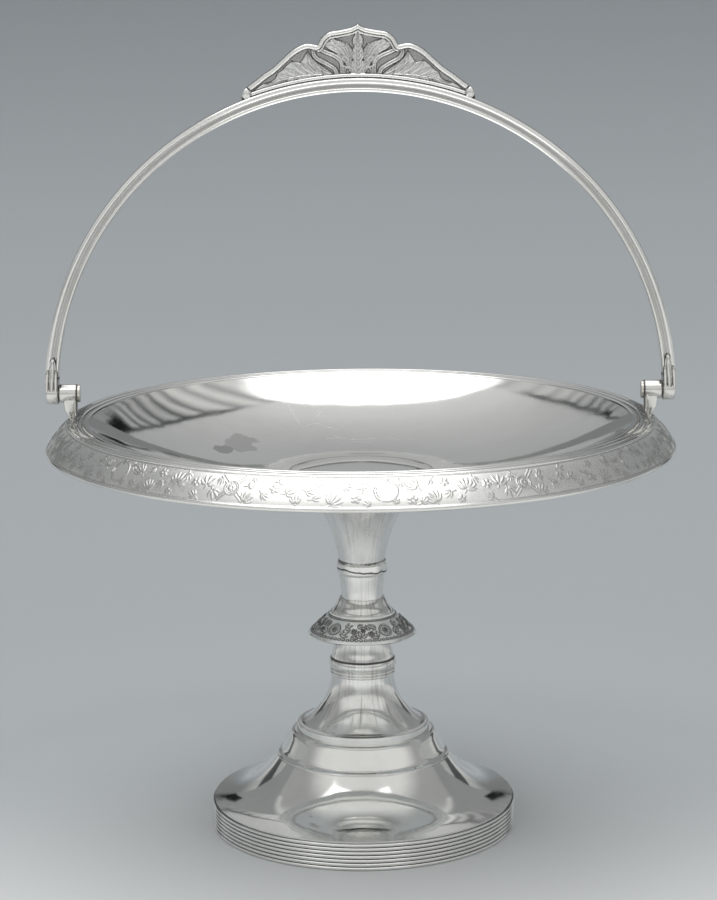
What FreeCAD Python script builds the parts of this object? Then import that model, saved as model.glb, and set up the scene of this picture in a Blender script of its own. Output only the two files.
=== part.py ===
import FreeCAD, Part
import math
import os

# Footed cake basket in silver plate, taken apart as a bench worker would unsolder and unrivet it:
# a spun foot and stem in eleven pieces, a dish with its three rim pieces, two hinge lugs, and a
# swing handle of a drawn bow, a cast crest, two cast terminals and two rivets.
# Lengths are millimetres. +Z is up, X runs along the hinge axis, -Y is the front, and the origin
# is under the foot's centre, on the surface that the basket stands on.
# Every outline is given as (radius, height), or as shares of the span that it crosses.

V = FreeCAD.Vector
UP = V(0, 0, 1)

# Sheet and fits
foot_sheet = 1.2
stem_sheet = 1.0
dish_sheet = 1.2
band_sheet = 0.9
solder_gap = 0.03
running_gap = 0.05
rivet_gap = 0.02

# Foot band: a drawn strip of half-round reeds, bent to a ring
foot_radius = 64.0
band_height = 11.4
reed_count = 7
reed_relief = 0.8
band_backing = 1.9

# Foot cone: spun sheet that sits on the band's top edge
cone_rise = 19.1
cone_top_radius = 36.4
cone_edge_inset = 0.1
cone_edge_height = 0.7
cone_shares = ((0.0, 0.0), (0.19, 0.06), (0.34, 0.125), (0.565, 0.3), (0.755, 0.54), (0.905, 0.8),
               (1.0, 1.0))

# Step ring: an ogee moulding with a ledge for the trumpet
step_rise = 10.7
step_lip_inset = 0.4
step_lip_height = 0.5
step_ledge_radius = 29.0
step_seat_width = 2.5
step_shares = ((0.0, 0.0), (0.06, 0.045), (0.21, 0.09), (0.34, 0.215), (0.485, 0.44), (0.67, 0.725),
               (0.87, 0.955), (1.0, 1.0))

# Lower trumpet: a rolled rim, then a concave spun cone
trumpet_rise = 24.0
trumpet_rim_inset = 1.3
trumpet_rim_height = 3.2
trumpet_rim_roll = 0.6
trumpet_rim_width = 1.1
trumpet_top_radius = 13.2
trumpet_shares = ((0.0, 0.0), (0.1, 0.014), (0.225, 0.065), (0.425, 0.175), (0.625, 0.32), (0.8, 0.49),
                  (0.905, 0.655), (0.97, 0.81), (1.0, 1.0))

# Collar: a torus over two fine lines
collar_rise = 7.0
collar_relief = 0.9
collar_line_count = 2
collar_line_relief = 0.55
collar_line_height = 1.3
collar_groove = 0.35

# Stem ferrule: a tapered drum that carries the knop
ferrule_rise = 19.0
ferrule_top_radius = 11.0
ferrule_shares = ((0.0, 0.0), (0.14, 0.07), (0.45, 0.19), (0.73, 0.38), (0.91, 0.67), (1.0, 1.0))

# Knop flange: the ornamented cone with a wired edge and a flat top web
flange_web = 1.2
flange_edge_radius = 22.0
flange_drop = 8.5
flange_top_radius = 12.9
flange_step_width = 0.7
flange_step_height = 0.9
web_seat_width = 4.0
flange_sheet = 1.0
flange_bead_radius = 0.8
flange_shares = ((0.0, 0.0), (0.32, 0.3), (0.71, 0.71), (1.0, 1.0))

# Knop cap: a small spun bell
cap_rise = 5.6
cap_inset = 0.3
cap_top_radius = 9.4
cap_seat_width = 1.3
cap_shares = ((0.0, 0.0), (0.13, 0.15), (0.44, 0.4), (0.71, 0.71), (1.0, 1.0))

# Neck tube and neck ring
neck_rise = 10.2
neck_inset = 0.8
neck_top_radius = 9.6
neck_shares = ((0.0, 0.0), (0.12, 0.34), (0.55, 0.64), (1.0, 1.0))
neck_ring_rise = 5.6
neck_ring_relief = 0.85
neck_ring_edge_relief = 0.4
neck_ring_edge_height = 1.1
neck_ring_seat_width = 1.3

# Dish support: the upper trumpet, flared to a seat under the dish
support_rise = 37.0
support_inset = 0.6
support_seat_radius = 33.5
support_seat_width = 4.9
support_shares = ((0.0, 0.0), (0.012, 0.04), (0.04, 0.12), (0.075, 0.21), (0.116, 0.303), (0.158, 0.384),
                  (0.2, 0.451), (0.257, 0.53), (0.365, 0.654), (0.506, 0.776), (0.689, 0.892), (1.0, 1.0))

# Dish: a flat seat round a low dome, then a bowl that steepens to the lip
dish_lip_radius = 111.6
dish_depth = 22.0
dish_flat_margin = 0.5
dome_inset = 4.5
dome_height = 3.5
dish_flange_gap = 0.05
bowl_power = 1.9
bowl_shares = (0.0, 0.1, 0.22, 0.36, 0.52, 0.68, 0.84, 1.0)

# Rim moulding: three reeds on the dish flange
moulding_inset = 0.2
moulding_width = 9.3
moulding_wall = 0.3
moulding_reeds = 3
moulding_reed_relief = 0.55
moulding_reed_runs = 8

# Rim band: the ornamented strip that slopes down and out from the moulding
band_overlap = 0.1
band_drop = 9.8
band_spread = 8.45
band_bulge = 0.7

# Lower bead: a round wire along the band's bottom edge
bead_radius = 1.15
bead_flat_rise = 0.9

# Hinge: axis, barrel, pin
pivot_rise = 11.15
barrel_inboard = 4.4
barrel_length = 7.5
barrel_radius = 3.83
pin_radius = 1.7
pin_head_radius = 3.6
pin_head_thickness = 0.8
pin_head_gap = 0.15
pin_end_inset = 0.2
side_gap = 0.25

# Hinge lug: a wedge-shaped post on a leaf-shaped foot
post_top_inner_inset = 0.2
post_top_outer_inset = 1.5
post_foot_width = 3.0
post_foot_inset = 0.5
post_half_depth = 3.0
lug_foot_inset = 0.3
lug_foot_half_width = 2.5
lug_foot_half_length = 33.0
lug_foot_height = 2.2
lug_seat_depth = 0.1
lug_seat_gap = 0.05

# Handle terminal: an eye, a shank, and a three-lobed leaf on each face of the bow
terminal_width = 5.05
shank_rise = 5.9
leaf_rise = 9.4
leaf_plate = 0.95
leaf_gap = 0.05
leaf_shares = ((-1.0, -0.45), (-1.0, 0.2), (-0.86, 0.46), (-0.52, 0.36), (-0.5, 0.7), (0.0, 1.0),
               (0.5, 0.7), (0.52, 0.36), (0.86, 0.46), (1.0, 0.2), (1.0, -0.45))

# Handle bow: a drawn section bent to an arc whose centre lies a little under the hinge axis
bow_overlap = 0.05
bow_thickness = 5.6
bow_half_depth = 3.5
bow_centre_drop = 1.5
outer_bead_width = 2.5
inner_bead_width = 1.6
groove_depth = 0.9
inner_bead_fall = 0.3
bead_edge_fall = 0.9

# Handle crest: a cast plaque on the bow's top, alike on both faces
crest_half_length = 47.5
crest_height = 21.5
ground_half_depth = 0.9
border_half_depth = 1.9
border_width = 1.5
rail_height = 1.9
rail_half_depth = 2.3
scroll_half_depth = 1.6
scroll_width = 0.9
leaf_half_depth = 1.45
hood_shares = ((0.0, 1.0), (0.076, 0.919), (0.16, 0.882), (0.246, 0.849), (0.305, 0.756), (0.345, 0.61))
wing_shares = ((0.345, 0.61), (0.423, 0.64), (0.482, 0.612), (0.56, 0.519), (0.644, 0.356), (0.73, 0.188),
               (0.815, 0.058), (0.9, -0.086), (0.96, -0.18))
wing_end_shares = (0.995, -0.26)
notch_boss_radius = 1.0
notch_boss_inset = 0.8
foot_end_share = 0.985
inner_scroll_shares = ((0.347, 0.57), (0.288, 0.523), (0.221, 0.457), (0.175, 0.374), (0.149, 0.271),
                       (0.136, 0.09))
outer_scroll_shares = ((0.365, 0.56), (0.353, 0.429), (0.306, 0.346), (0.247, 0.281), (0.196, 0.188),
                       (0.17, 0.06))
lance_shares = ((0.0, 0.889), (0.044, 0.749), (0.047, 0.57), (0.025, 0.364), (0.02, 0.05))
frond_shares = ((0.02, 0.05), (0.055, 0.504), (0.077, 0.597), (0.119, 0.672), (0.162, 0.7), (0.213, 0.738),
                (0.255, 0.691), (0.298, 0.635), (0.238, 0.56), (0.178, 0.513), (0.136, 0.447), (0.11, 0.373),
                (0.094, 0.279), (0.076, 0.204), (0.06, 0.05))
spray_shares = ((0.272, 0.05), (0.357, 0.204), (0.4, 0.298), (0.408, 0.373), (0.425, 0.513), (0.467, 0.391),
                (0.485, 0.316), (0.57, 0.326), (0.629, 0.223), (0.697, 0.11), (0.757, -0.021), (0.629, -0.06),
                (0.459, 0.0))

# Levels of the stack, each piece standing on the one below
cone_z = band_height
step_z = cone_z + cone_rise
trumpet_z = step_z + step_rise
collar_z = trumpet_z + trumpet_rise
ferrule_z = collar_z + collar_rise
web_z = ferrule_z + ferrule_rise
cap_z = web_z + flange_web
neck_z = cap_z + cap_rise
neck_ring_z = neck_z + neck_rise
support_z = neck_ring_z + neck_ring_rise
dish_z = support_z + support_rise
floor_z = dish_z + dish_sheet
rim_z = floor_z + dish_depth
pivot_z = rim_z + pivot_rise

# Places that several pieces share
reed_root_radius = foot_radius - reed_relief
cone_edge_radius = reed_root_radius - cone_edge_inset
cone_seat_width = band_backing - 2 * cone_edge_inset
step_lip_radius = cone_top_radius - step_lip_inset
trumpet_rim_radius = step_ledge_radius - trumpet_rim_inset
step_hole_radius = trumpet_rim_radius - step_seat_width
collar_radius = trumpet_top_radius + collar_relief
collar_line_radius = trumpet_top_radius + collar_line_relief
flange_hole_radius = ferrule_top_radius - web_seat_width
cap_radius = flange_top_radius - cap_inset
neck_foot_radius = cap_top_radius - neck_inset
cap_hole_radius = neck_foot_radius - cap_seat_width
neck_ring_radius = neck_top_radius + neck_ring_relief
neck_ring_edge_radius = neck_top_radius + neck_ring_edge_relief
neck_ring_hole_radius = neck_top_radius - neck_ring_seat_width
support_foot_radius = neck_ring_edge_radius - support_inset
dish_flat_radius = support_seat_radius + dish_flat_margin
dome_radius = support_seat_radius - dome_inset
moulding_inner_radius = dish_lip_radius + moulding_inset
moulding_outer_radius = moulding_inner_radius + moulding_width
moulding_top_z = rim_z + moulding_wall
lug_seat_z = moulding_top_z - lug_seat_depth
band_top_radius = moulding_outer_radius - band_overlap
band_foot_radius = band_top_radius + band_spread
band_foot_z = rim_z - band_drop
band_level_wall = band_sheet * math.hypot(band_spread, band_drop) / band_drop
flange_radius = band_top_radius - band_level_wall - dish_flange_gap
lug_foot_centre_radius = moulding_outer_radius - lug_foot_inset - lug_foot_half_width
post_foot_outer_radius = moulding_outer_radius - post_foot_inset
barrel_inner_x = moulding_outer_radius - barrel_inboard
barrel_outer_x = barrel_inner_x + barrel_length
terminal_inner_x = barrel_outer_x + side_gap
terminal_outer_x = terminal_inner_x + terminal_width
eye_radius = bow_half_depth + leaf_gap + leaf_plate
bow_inner_radius = terminal_inner_x - bow_overlap
bow_outer_radius = bow_inner_radius + bow_thickness
bow_middle_radius = bow_inner_radius + bow_thickness / 2
bow_centre = V(0, 0, pivot_z - bow_centre_drop)
shoulder_z = pivot_z + shank_rise
bow_end_angle = math.degrees(math.asin((shoulder_z - bow_centre.z) / bow_middle_radius))
bow_top_z = bow_centre.z + bow_outer_radius


def at(radius, height):
    return V(radius, 0, height)


def line(start, end):
    return Part.makeLine(start, end)


def arc(start, middle, end):
    return Part.Arc(start, middle, end).toShape()


def curve(points):
    spline = Part.BSplineCurve()
    spline.interpolate(points)
    return spline.toShape()


def chain(points):
    return [line(start, end) for start, end in zip(points, points[1:])]


def arc_in_runs(start, middle, end, runs):
    # a low arc in equal runs, so that a mesh of it keeps its volume
    whole = arc(start, middle, end)
    first, last = whole.ParameterRange
    steps = [whole.valueAt(first + (last - first) * index / (2 * runs)) for index in range(2 * runs + 1)]
    return [arc(*steps[index:index + 3]) for index in range(0, 2 * runs, 2)]


def face_of(edges):
    return Part.Face(Part.Wire(edges))


def turned(edges):
    return face_of(edges).revolve(V(0, 0, 0), UP, 360)


def spread(shares, start, end):
    # points between two corners of a turned outline, by their shares of the span
    return [at(start.x + (end.x - start.x) * u, start.z + (end.z - start.z) * v) for u, v in shares]


def inside(points, wall):
    # the inner points of an outline that runs upward, one wall towards the axis
    moved = []
    for before, point, after in zip(points, points[1:], points[2:]):
        run = (after - before).normalize()
        moved.append(point + V(-run.z, 0, run.x) * wall)
    return moved


def level_wall(start, end, wall):
    # how wide a sloping wall is where it is cut level
    run = (end - start).normalize()
    return wall / abs(run.z)


def tube(outer, wall):
    # a turned sheet with level ends, from its outer points, bottom to top
    foot_width = level_wall(outer[0], outer[1], wall)
    top_width = level_wall(outer[-2], outer[-1], wall)
    foot = outer[0] - V(foot_width, 0, 0)
    top = outer[-1] - V(top_width, 0, 0)
    inner = [foot] + inside(outer, wall) + [top]
    edges = [line(foot, outer[0]), curve(outer), line(outer[-1], top), curve(inner[::-1])]
    return turned(edges)


def foot_band():
    pitch = band_height / reed_count
    inner_radius = reed_root_radius - band_backing
    edges = [line(at(inner_radius, 0), at(reed_root_radius, 0))]
    for index in range(reed_count):
        low = index * pitch
        high = low + pitch
        crest = at(foot_radius, (low + high) / 2)
        edges.append(arc(at(reed_root_radius, low), crest, at(reed_root_radius, high)))
    edges.append(line(at(reed_root_radius, band_height), at(inner_radius, band_height)))
    edges.append(line(at(inner_radius, band_height), at(inner_radius, 0)))
    return turned(edges)


def foot_cone():
    seat = at(cone_edge_radius - cone_seat_width, cone_z)
    edge_low = at(cone_edge_radius, cone_z)
    edge_high = at(cone_edge_radius, cone_z + cone_edge_height)
    outer = spread(cone_shares, edge_high, at(cone_top_radius, step_z))
    top = outer[-1] - V(level_wall(outer[-2], outer[-1], foot_sheet), 0, 0)
    inner = [seat] + inside(outer, foot_sheet)[1:] + [top]
    edges = [line(seat, edge_low), line(edge_low, edge_high), curve(outer), line(outer[-1], top),
             curve(inner[::-1])]
    return turned(edges)


def foot_step_ring():
    lip_low = at(step_lip_radius, step_z)
    lip_high = at(step_lip_radius, step_z + step_lip_height)
    outer = spread(step_shares, lip_high, at(step_ledge_radius, trumpet_z))
    ledge_end = at(step_hole_radius, trumpet_z)
    hole_low = ledge_end - V(0, 0, foot_sheet)
    inner = inside(outer, foot_sheet)[2:-1] + [at(step_ledge_radius - foot_sheet, hole_low.z)]
    seat = at(step_lip_radius - foot_sheet, step_z)
    edges = [line(seat, lip_low), line(lip_low, lip_high), curve(outer), line(outer[-1], ledge_end),
             line(ledge_end, hole_low), line(hole_low, inner[-1]), curve(inner[::-1]), line(inner[0], seat)]
    return turned(edges)


def lower_trumpet():
    rim_low = at(trumpet_rim_radius, trumpet_z)
    rim_high_z = trumpet_z + trumpet_rim_height
    rim_side = at(trumpet_rim_radius, rim_high_z - trumpet_rim_roll)
    roll_middle = at(trumpet_rim_radius - trumpet_rim_roll * (1 - math.sqrt(0.5)),
                     rim_high_z - trumpet_rim_roll * (1 - math.sqrt(0.5)))
    rim_roll_end = at(trumpet_rim_radius - trumpet_rim_roll, rim_high_z)
    start = at(trumpet_rim_radius - trumpet_rim_width, rim_high_z)
    outer = spread(trumpet_shares, start, at(trumpet_top_radius, collar_z))
    top = outer[-1] - V(level_wall(outer[-2], outer[-1], stem_sheet), 0, 0)
    inner = inside(outer, stem_sheet)[1:] + [top]
    inner_radius = trumpet_rim_radius - trumpet_rim_width - stem_sheet
    seat = at(inner_radius, trumpet_z)
    inner_high = at(inner_radius, inner[0].z - stem_sheet)
    edges = [line(seat, rim_low), line(rim_low, rim_side), arc(rim_side, roll_middle, rim_roll_end),
             line(rim_roll_end, start), curve(outer), line(outer[-1], top), curve(inner[::-1]),
             line(inner[0], inner_high), line(inner_high, seat)]
    return turned(edges)


def trumpet_collar():
    inner_radius = trumpet_top_radius - 2 * stem_sheet
    groove_radius = collar_line_radius - collar_groove
    level = collar_z
    edges = [line(at(inner_radius, level), at(groove_radius, level))]
    for _ in range(collar_line_count):
        crest = at(collar_line_radius, level + collar_line_height / 2)
        edges.append(arc(at(groove_radius, level), crest, at(groove_radius, level + collar_line_height)))
        level += collar_line_height
    torus_middle = at(collar_radius, (level + ferrule_z) / 2)
    edges.append(arc(at(groove_radius, level), torus_middle, at(groove_radius, ferrule_z)))
    edges.append(line(at(groove_radius, ferrule_z), at(inner_radius, ferrule_z)))
    edges.append(line(at(inner_radius, ferrule_z), at(inner_radius, collar_z)))
    return turned(edges)


def stem_ferrule():
    foot = at(trumpet_top_radius, ferrule_z)
    return tube(spread(ferrule_shares, foot, at(ferrule_top_radius, web_z)), stem_sheet)


def knop_flange():
    step_radius = flange_top_radius + flange_step_width
    step_low = at(step_radius, cap_z - flange_step_height)
    edge = at(flange_edge_radius, cap_z - flange_drop)
    outer = spread(flange_shares, edge, step_low)
    bead_middle = at(flange_edge_radius + flange_bead_radius, edge.z - flange_bead_radius)
    bead_low = at(flange_edge_radius, edge.z - 2 * flange_bead_radius)
    bead_inner = at(flange_edge_radius - 2 * flange_sheet, bead_low.z)
    web_radius = step_radius - 2 * flange_sheet
    inner = [bead_inner] + inside(outer, 2 * flange_sheet) + [at(web_radius, web_z)]
    web_hole_low = at(flange_hole_radius, web_z)
    web_hole_high = at(flange_hole_radius, cap_z)
    top = at(flange_top_radius, cap_z)
    edges = [line(bead_inner, bead_low), arc(bead_low, bead_middle, edge), curve(outer),
             line(outer[-1], top), line(top, web_hole_high), line(web_hole_high, web_hole_low),
             line(web_hole_low, inner[-1]), curve(inner[::-1])]
    return turned(edges)


def knop_cap():
    outer = spread(cap_shares, at(cap_radius, cap_z), at(cap_top_radius, neck_z))
    hole_high = at(cap_hole_radius, neck_z)
    hole_low = at(cap_hole_radius, neck_z - stem_sheet)
    foot = outer[0] - V(level_wall(outer[0], outer[1], stem_sheet), 0, 0)
    inner = [foot] + inside(outer, stem_sheet)[:-1]
    edges = [line(foot, outer[0]), curve(outer), line(outer[-1], hole_high), line(hole_high, hole_low),
             line(hole_low, inner[-1]), curve(inner[::-1])]
    return turned(edges)


def neck_tube():
    foot = at(neck_foot_radius, neck_z)
    return tube(spread(neck_shares, foot, at(neck_top_radius, neck_ring_z)), stem_sheet)


def neck_ring():
    low = neck_ring_z + neck_ring_edge_height
    high = support_z - neck_ring_edge_height
    outline = [at(neck_ring_hole_radius, neck_ring_z), at(neck_ring_edge_radius, neck_ring_z),
               at(neck_ring_radius, low), at(neck_ring_radius, high), at(neck_ring_edge_radius, support_z),
               at(neck_ring_hole_radius, support_z), at(neck_ring_hole_radius, neck_ring_z)]
    return turned(chain(outline))


def dish_support():
    outer = spread(support_shares, at(support_foot_radius, support_z), at(support_seat_radius, dish_z))
    foot = outer[0] - V(level_wall(outer[0], outer[1], stem_sheet), 0, 0)
    seat_end = outer[-1] - V(support_seat_width, 0, 0)
    inner = [foot] + inside(outer, stem_sheet) + [seat_end]
    edges = [line(foot, outer[0]), curve(outer), line(outer[-1], seat_end), curve(inner[::-1])]
    return turned(edges)


def dish():
    bowl_span = dish_lip_radius - dish_flat_radius
    bowl = [at(dish_flat_radius + bowl_span * share, floor_z + dish_depth * share ** bowl_power)
            for share in bowl_shares]
    under = V(0, 0, -dish_sheet)
    below = [bowl[0] + under]
    for point, upper in zip(bowl[1:-1], inside(bowl, dish_sheet)):
        below.append(point * 2 - upper)
    below.append(at(dish_lip_radius + dish_sheet / 2, rim_z - dish_sheet))
    flange_end = at(flange_radius, rim_z)
    flange_low = flange_end + under
    dome_top = at(0, floor_z + dome_height)
    dome_edge = at(dome_radius, floor_z)
    dome_sphere = (dome_radius ** 2 + dome_height ** 2) / (2 * dome_height)
    half_radius = dome_radius / 2
    dome_middle = at(half_radius, dome_top.z - dome_sphere + math.sqrt(dome_sphere ** 2 - half_radius ** 2))
    upper_edges = [arc(dome_top, dome_middle, dome_edge), line(dome_edge, bowl[0]), curve(bowl),
                   line(bowl[-1], flange_end), line(flange_end, flange_low)]
    lower_edges = [line(flange_low, below[-1]), curve(below[::-1]), line(below[0], dome_edge + under),
                   arc(dome_edge + under, dome_middle + under, dome_top + under)]
    edges = upper_edges + lower_edges + [line(dome_top + under, dome_top)]
    return turned(edges)


def lug_foot_outline(gap):
    # plan of the lug's leaf-shaped foot, on the +X side, as two arcs from tip to tip
    half_length = lug_foot_half_length + gap
    half_width = lug_foot_half_width + gap
    tip_x = math.sqrt(lug_foot_centre_radius ** 2 - half_length ** 2)
    front = V(tip_x, -half_length, lug_seat_z)
    back = V(tip_x, half_length, lug_seat_z)
    outer_middle = V(lug_foot_centre_radius + half_width, 0, lug_seat_z)
    inner_middle = V(lug_foot_centre_radius - half_width, 0, lug_seat_z)
    return face_of([arc(front, outer_middle, back), arc(back, inner_middle, front)])


def rim_moulding():
    pitch = moulding_width / moulding_reeds
    edges = [line(at(moulding_inner_radius, rim_z), at(moulding_outer_radius, rim_z)),
             line(at(moulding_outer_radius, rim_z), at(moulding_outer_radius, moulding_top_z))]
    for index in range(moulding_reeds):
        right = moulding_outer_radius - index * pitch
        left = right - pitch
        crest = at((left + right) / 2, moulding_top_z + moulding_reed_relief)
        edges += arc_in_runs(at(right, moulding_top_z), crest, at(left, moulding_top_z), moulding_reed_runs)
    edges.append(line(at(moulding_inner_radius, moulding_top_z), at(moulding_inner_radius, rim_z)))
    seat = lug_foot_outline(lug_seat_gap).extrude(UP * lug_foot_height)
    return turned(edges).cut(seat).cut(mirrored(seat))


def rim_band():
    foot = at(band_foot_radius, band_foot_z)
    top = at(band_top_radius, rim_z)
    run = (top - foot).normalize()
    outward = V(run.z, 0, -run.x)
    wall = V(band_level_wall, 0, 0)
    middle = (foot + top) / 2 + outward * band_bulge
    edges = [line(foot - wall, foot), arc(foot, middle, top), line(top, top - wall),
             arc(top - wall, middle - wall, foot - wall)]
    return turned(edges)


def rim_lower_bead():
    middle_radius = band_foot_radius - band_level_wall / 2
    half_flat = math.sqrt(bead_radius ** 2 - bead_flat_rise ** 2)
    left = at(middle_radius - half_flat, band_foot_z)
    right = at(middle_radius + half_flat, band_foot_z)
    low = at(middle_radius, band_foot_z - bead_flat_rise - bead_radius)
    return turned([arc(left, low, right), line(right, left)])


def mirrored(shape):
    return shape.mirror(V(0, 0, 0), V(1, 0, 0))


def cross_bar(radius, start_x, end_x):
    # a round bar on the hinge axis
    return Part.makeCylinder(radius, end_x - start_x, V(start_x, 0, pivot_z), V(1, 0, 0))


def hinge_lug():
    barrel = cross_bar(barrel_radius, barrel_inner_x, barrel_outer_x)
    post_inner = barrel_inner_x + post_top_inner_inset
    post_outer = barrel_outer_x - post_top_outer_inset
    corners = [V(post_inner, -post_half_depth, pivot_z), V(post_outer, -post_half_depth, pivot_z),
               V(post_outer, -post_half_depth, pivot_z - barrel_radius),
               V(post_foot_outer_radius, -post_half_depth, lug_seat_z),
               V(post_foot_outer_radius - post_foot_width, -post_half_depth, lug_seat_z),
               V(post_inner, -post_half_depth, pivot_z - barrel_radius)]
    post = face_of(chain(corners + corners[:1])).extrude(V(0, 2 * post_half_depth, 0))
    foot_wall = at(lug_foot_centre_radius - lug_foot_half_width, lug_seat_z)
    foot_rim = at(lug_foot_centre_radius + lug_foot_half_width, lug_seat_z)
    foot_crest = at(lug_foot_centre_radius, lug_seat_z + lug_foot_height)
    ridge = turned([arc(foot_rim, foot_crest, foot_wall), line(foot_wall, foot_rim)])
    leaf = ridge.common(lug_foot_outline(0).extrude(UP * lug_foot_height))
    bore = cross_bar(pin_radius + running_gap, barrel_inner_x - barrel_length, barrel_outer_x + barrel_length)
    return barrel.fuse([post, leaf]).cut(bore).removeSplitter()


def hinge_pin():
    head_end = barrel_inner_x - pin_head_gap
    head = cross_bar(pin_head_radius, head_end - pin_head_thickness, head_end)
    shaft = cross_bar(pin_radius, head_end, terminal_outer_x - pin_end_inset)
    return head.fuse(shaft).removeSplitter()


def bow_arc(section, start_angle, end_angle):
    # a section drawn in the XZ plane's +X side, swept about the bow's centre from one angle to another
    start = section.rotated(bow_centre, V(0, -1, 0), start_angle)
    return start.revolve(bow_centre, V(0, -1, 0), end_angle - start_angle)


def bow_middle_x(height):
    return math.sqrt(bow_middle_radius ** 2 - (height - bow_centre.z) ** 2)


def handle_terminal():
    eye = cross_bar(eye_radius, terminal_inner_x, terminal_outer_x)
    shank = Part.makeBox(terminal_width, 2 * eye_radius, shank_rise + leaf_rise / 2,
                         V(terminal_inner_x, -eye_radius, pivot_z))
    outline = []
    for u, v in leaf_shares:
        height = shoulder_z + leaf_rise * v
        outline.append(V(bow_middle_x(height) + u * terminal_width / 2, -eye_radius, height))
    leaf = face_of(chain(outline + outline[:1])).extrude(V(0, 2 * eye_radius, 0))
    shank_top = V(terminal_inner_x, -eye_radius, shoulder_z)
    above = Part.makeBox(terminal_width, 2 * eye_radius, leaf_rise, shank_top)
    root = shank.cut(above)
    slot_half = bow_half_depth + leaf_gap
    near = bow_centre + V(bow_inner_radius - terminal_width, -slot_half, 0)
    far = bow_centre + V(bow_outer_radius + terminal_width, -slot_half, 0)
    across = V(0, 2 * slot_half, 0)
    slot_face = face_of(chain([near, far, far + across, near + across, near]))
    slot = bow_arc(slot_face, bow_end_angle, 4 * bow_end_angle)
    bore = cross_bar(pin_radius + rivet_gap, terminal_inner_x - terminal_width, terminal_outer_x + terminal_width)
    return eye.fuse([root, leaf]).cut(slot).cut(bore).removeSplitter()


def bow_section():
    # half outline from the outer face, over the outer bead, the groove and the inner bead, then mirrored
    outer = bow_outer_radius
    inner = bow_inner_radius
    bead_root = bow_half_depth - bead_edge_fall
    groove = bow_half_depth - groove_depth
    inner_crest = bow_half_depth - inner_bead_fall
    places = [(outer, bead_root), (outer - outer_bead_width / 2, bow_half_depth),
              (outer - outer_bead_width, groove), (inner + inner_bead_width, groove),
              (inner + inner_bead_width / 2, inner_crest), (inner, groove)]
    front = [bow_centre + V(x, -y, 0) for x, y in places]
    back = [bow_centre + V(x, y, 0) for x, y in places]
    edges = [arc(*front[0:3]), line(front[2], front[3]), arc(*front[3:6]), line(front[5], back[5]),
             arc(back[5], back[4], back[3]), line(back[3], back[2]), arc(back[2], back[1], back[0]),
             line(back[0], front[0])]
    return face_of(edges)


def handle_bow():
    return bow_arc(bow_section(), bow_end_angle, 180 - bow_end_angle)


def crest_points(shares, side=1):
    return [V(side * u * crest_half_length, 0, bow_top_z + v * crest_height) for u, v in shares]


def slab(face, half_depth):
    shape = face.copy()
    shape.translate(V(0, -half_depth, 0))
    return shape.extrude(V(0, 2 * half_depth, 0))


def ribbon(points, width, half_depth):
    # a strip of even width to the right of a curve that runs down and outward
    first = (points[1] - points[0]).normalize()
    last = (points[-1] - points[-2]).normalize()
    shifted = [points[0] + V(first.z, 0, -first.x) * width]
    for before, point, after in zip(points, points[1:], points[2:]):
        run = (after - before).normalize()
        shifted.append(point + V(run.z, 0, -run.x) * width)
    shifted.append(points[-1] + V(last.z, 0, -last.x) * width)
    edges = [curve(points), line(points[-1], shifted[-1]), curve(shifted[::-1]), line(shifted[0], points[0])]
    return slab(face_of(edges), half_depth)


def on_bow(x, radius):
    return V(x, 0, bow_centre.z + math.sqrt(radius ** 2 - x ** 2))


def crest_ground():
    seat_radius = bow_outer_radius + solder_gap
    foot_x = crest_half_length * foot_end_share
    foot_right = on_bow(foot_x, seat_radius)
    foot_left = on_bow(-foot_x, seat_radius)
    edges = [arc(foot_left, on_bow(0, seat_radius), foot_right)]
    hood = crest_points(hood_shares)
    wing = crest_points(wing_shares)
    end = crest_points([wing_end_shares])[0]
    edges += [arc(foot_right, end, wing[-1]), curve(wing[::-1]), curve(hood[::-1])]
    hood = crest_points(hood_shares, -1)
    wing = crest_points(wing_shares, -1)
    end = crest_points([wing_end_shares], -1)[0]
    edges += [curve(hood), curve(wing), arc(wing[-1], end, foot_left)]
    return slab(face_of(edges), ground_half_depth)


def crest_rail():
    low_radius = bow_outer_radius + solder_gap
    high_radius = low_radius + rail_height
    x = crest_half_length * foot_end_share
    corners = [on_bow(-x, low_radius), on_bow(x, low_radius), on_bow(x, high_radius),
               on_bow(-x, high_radius)]
    edges = [arc(corners[0], on_bow(0, low_radius), corners[1]), line(corners[1], corners[2]),
             arc(corners[2], on_bow(0, high_radius), corners[3]), line(corners[3], corners[0])]
    return slab(face_of(edges), rail_half_depth)


def crest_leaf(shares):
    points = crest_points(shares)
    return slab(face_of(chain(points + points[:1])), leaf_half_depth)


def crest_notch_boss():
    # the small round knob where the hood's border meets the wing's
    centre = crest_points(wing_shares)[0] - V(0, 0, notch_boss_inset)
    return slab(Part.Face(Part.Wire(Part.makeCircle(notch_boss_radius, centre, V(0, 1, 0)))), border_half_depth)


def handle_crest():
    right = [ribbon(crest_points(hood_shares), border_width, border_half_depth),
             ribbon(crest_points(wing_shares), border_width, border_half_depth),
             crest_notch_boss(),
             ribbon(crest_points(inner_scroll_shares), scroll_width, scroll_half_depth),
             ribbon(crest_points(outer_scroll_shares), scroll_width, scroll_half_depth),
             crest_leaf(frond_shares), crest_leaf(spray_shares)]
    lance_right = crest_points(lance_shares)
    lance_left = crest_points(lance_shares[1:], -1)
    lance = slab(face_of(chain(lance_right + lance_left[::-1] + lance_right[:1])), leaf_half_depth)
    left = [mirrored(shape) for shape in right]
    under = Part.makeCylinder(bow_outer_radius + solder_gap, 4 * rail_half_depth,
                              bow_centre - V(0, 2 * rail_half_depth, 0), V(0, 1, 0))
    relief = crest_rail().fuse([lance] + right + left)
    return crest_ground().fuse(relief).cut(under).removeSplitter()


def one_solid(shape):
    solid = shape.Solids[0]
    return solid if solid.Volume > 0 else solid.reversed()


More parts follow.
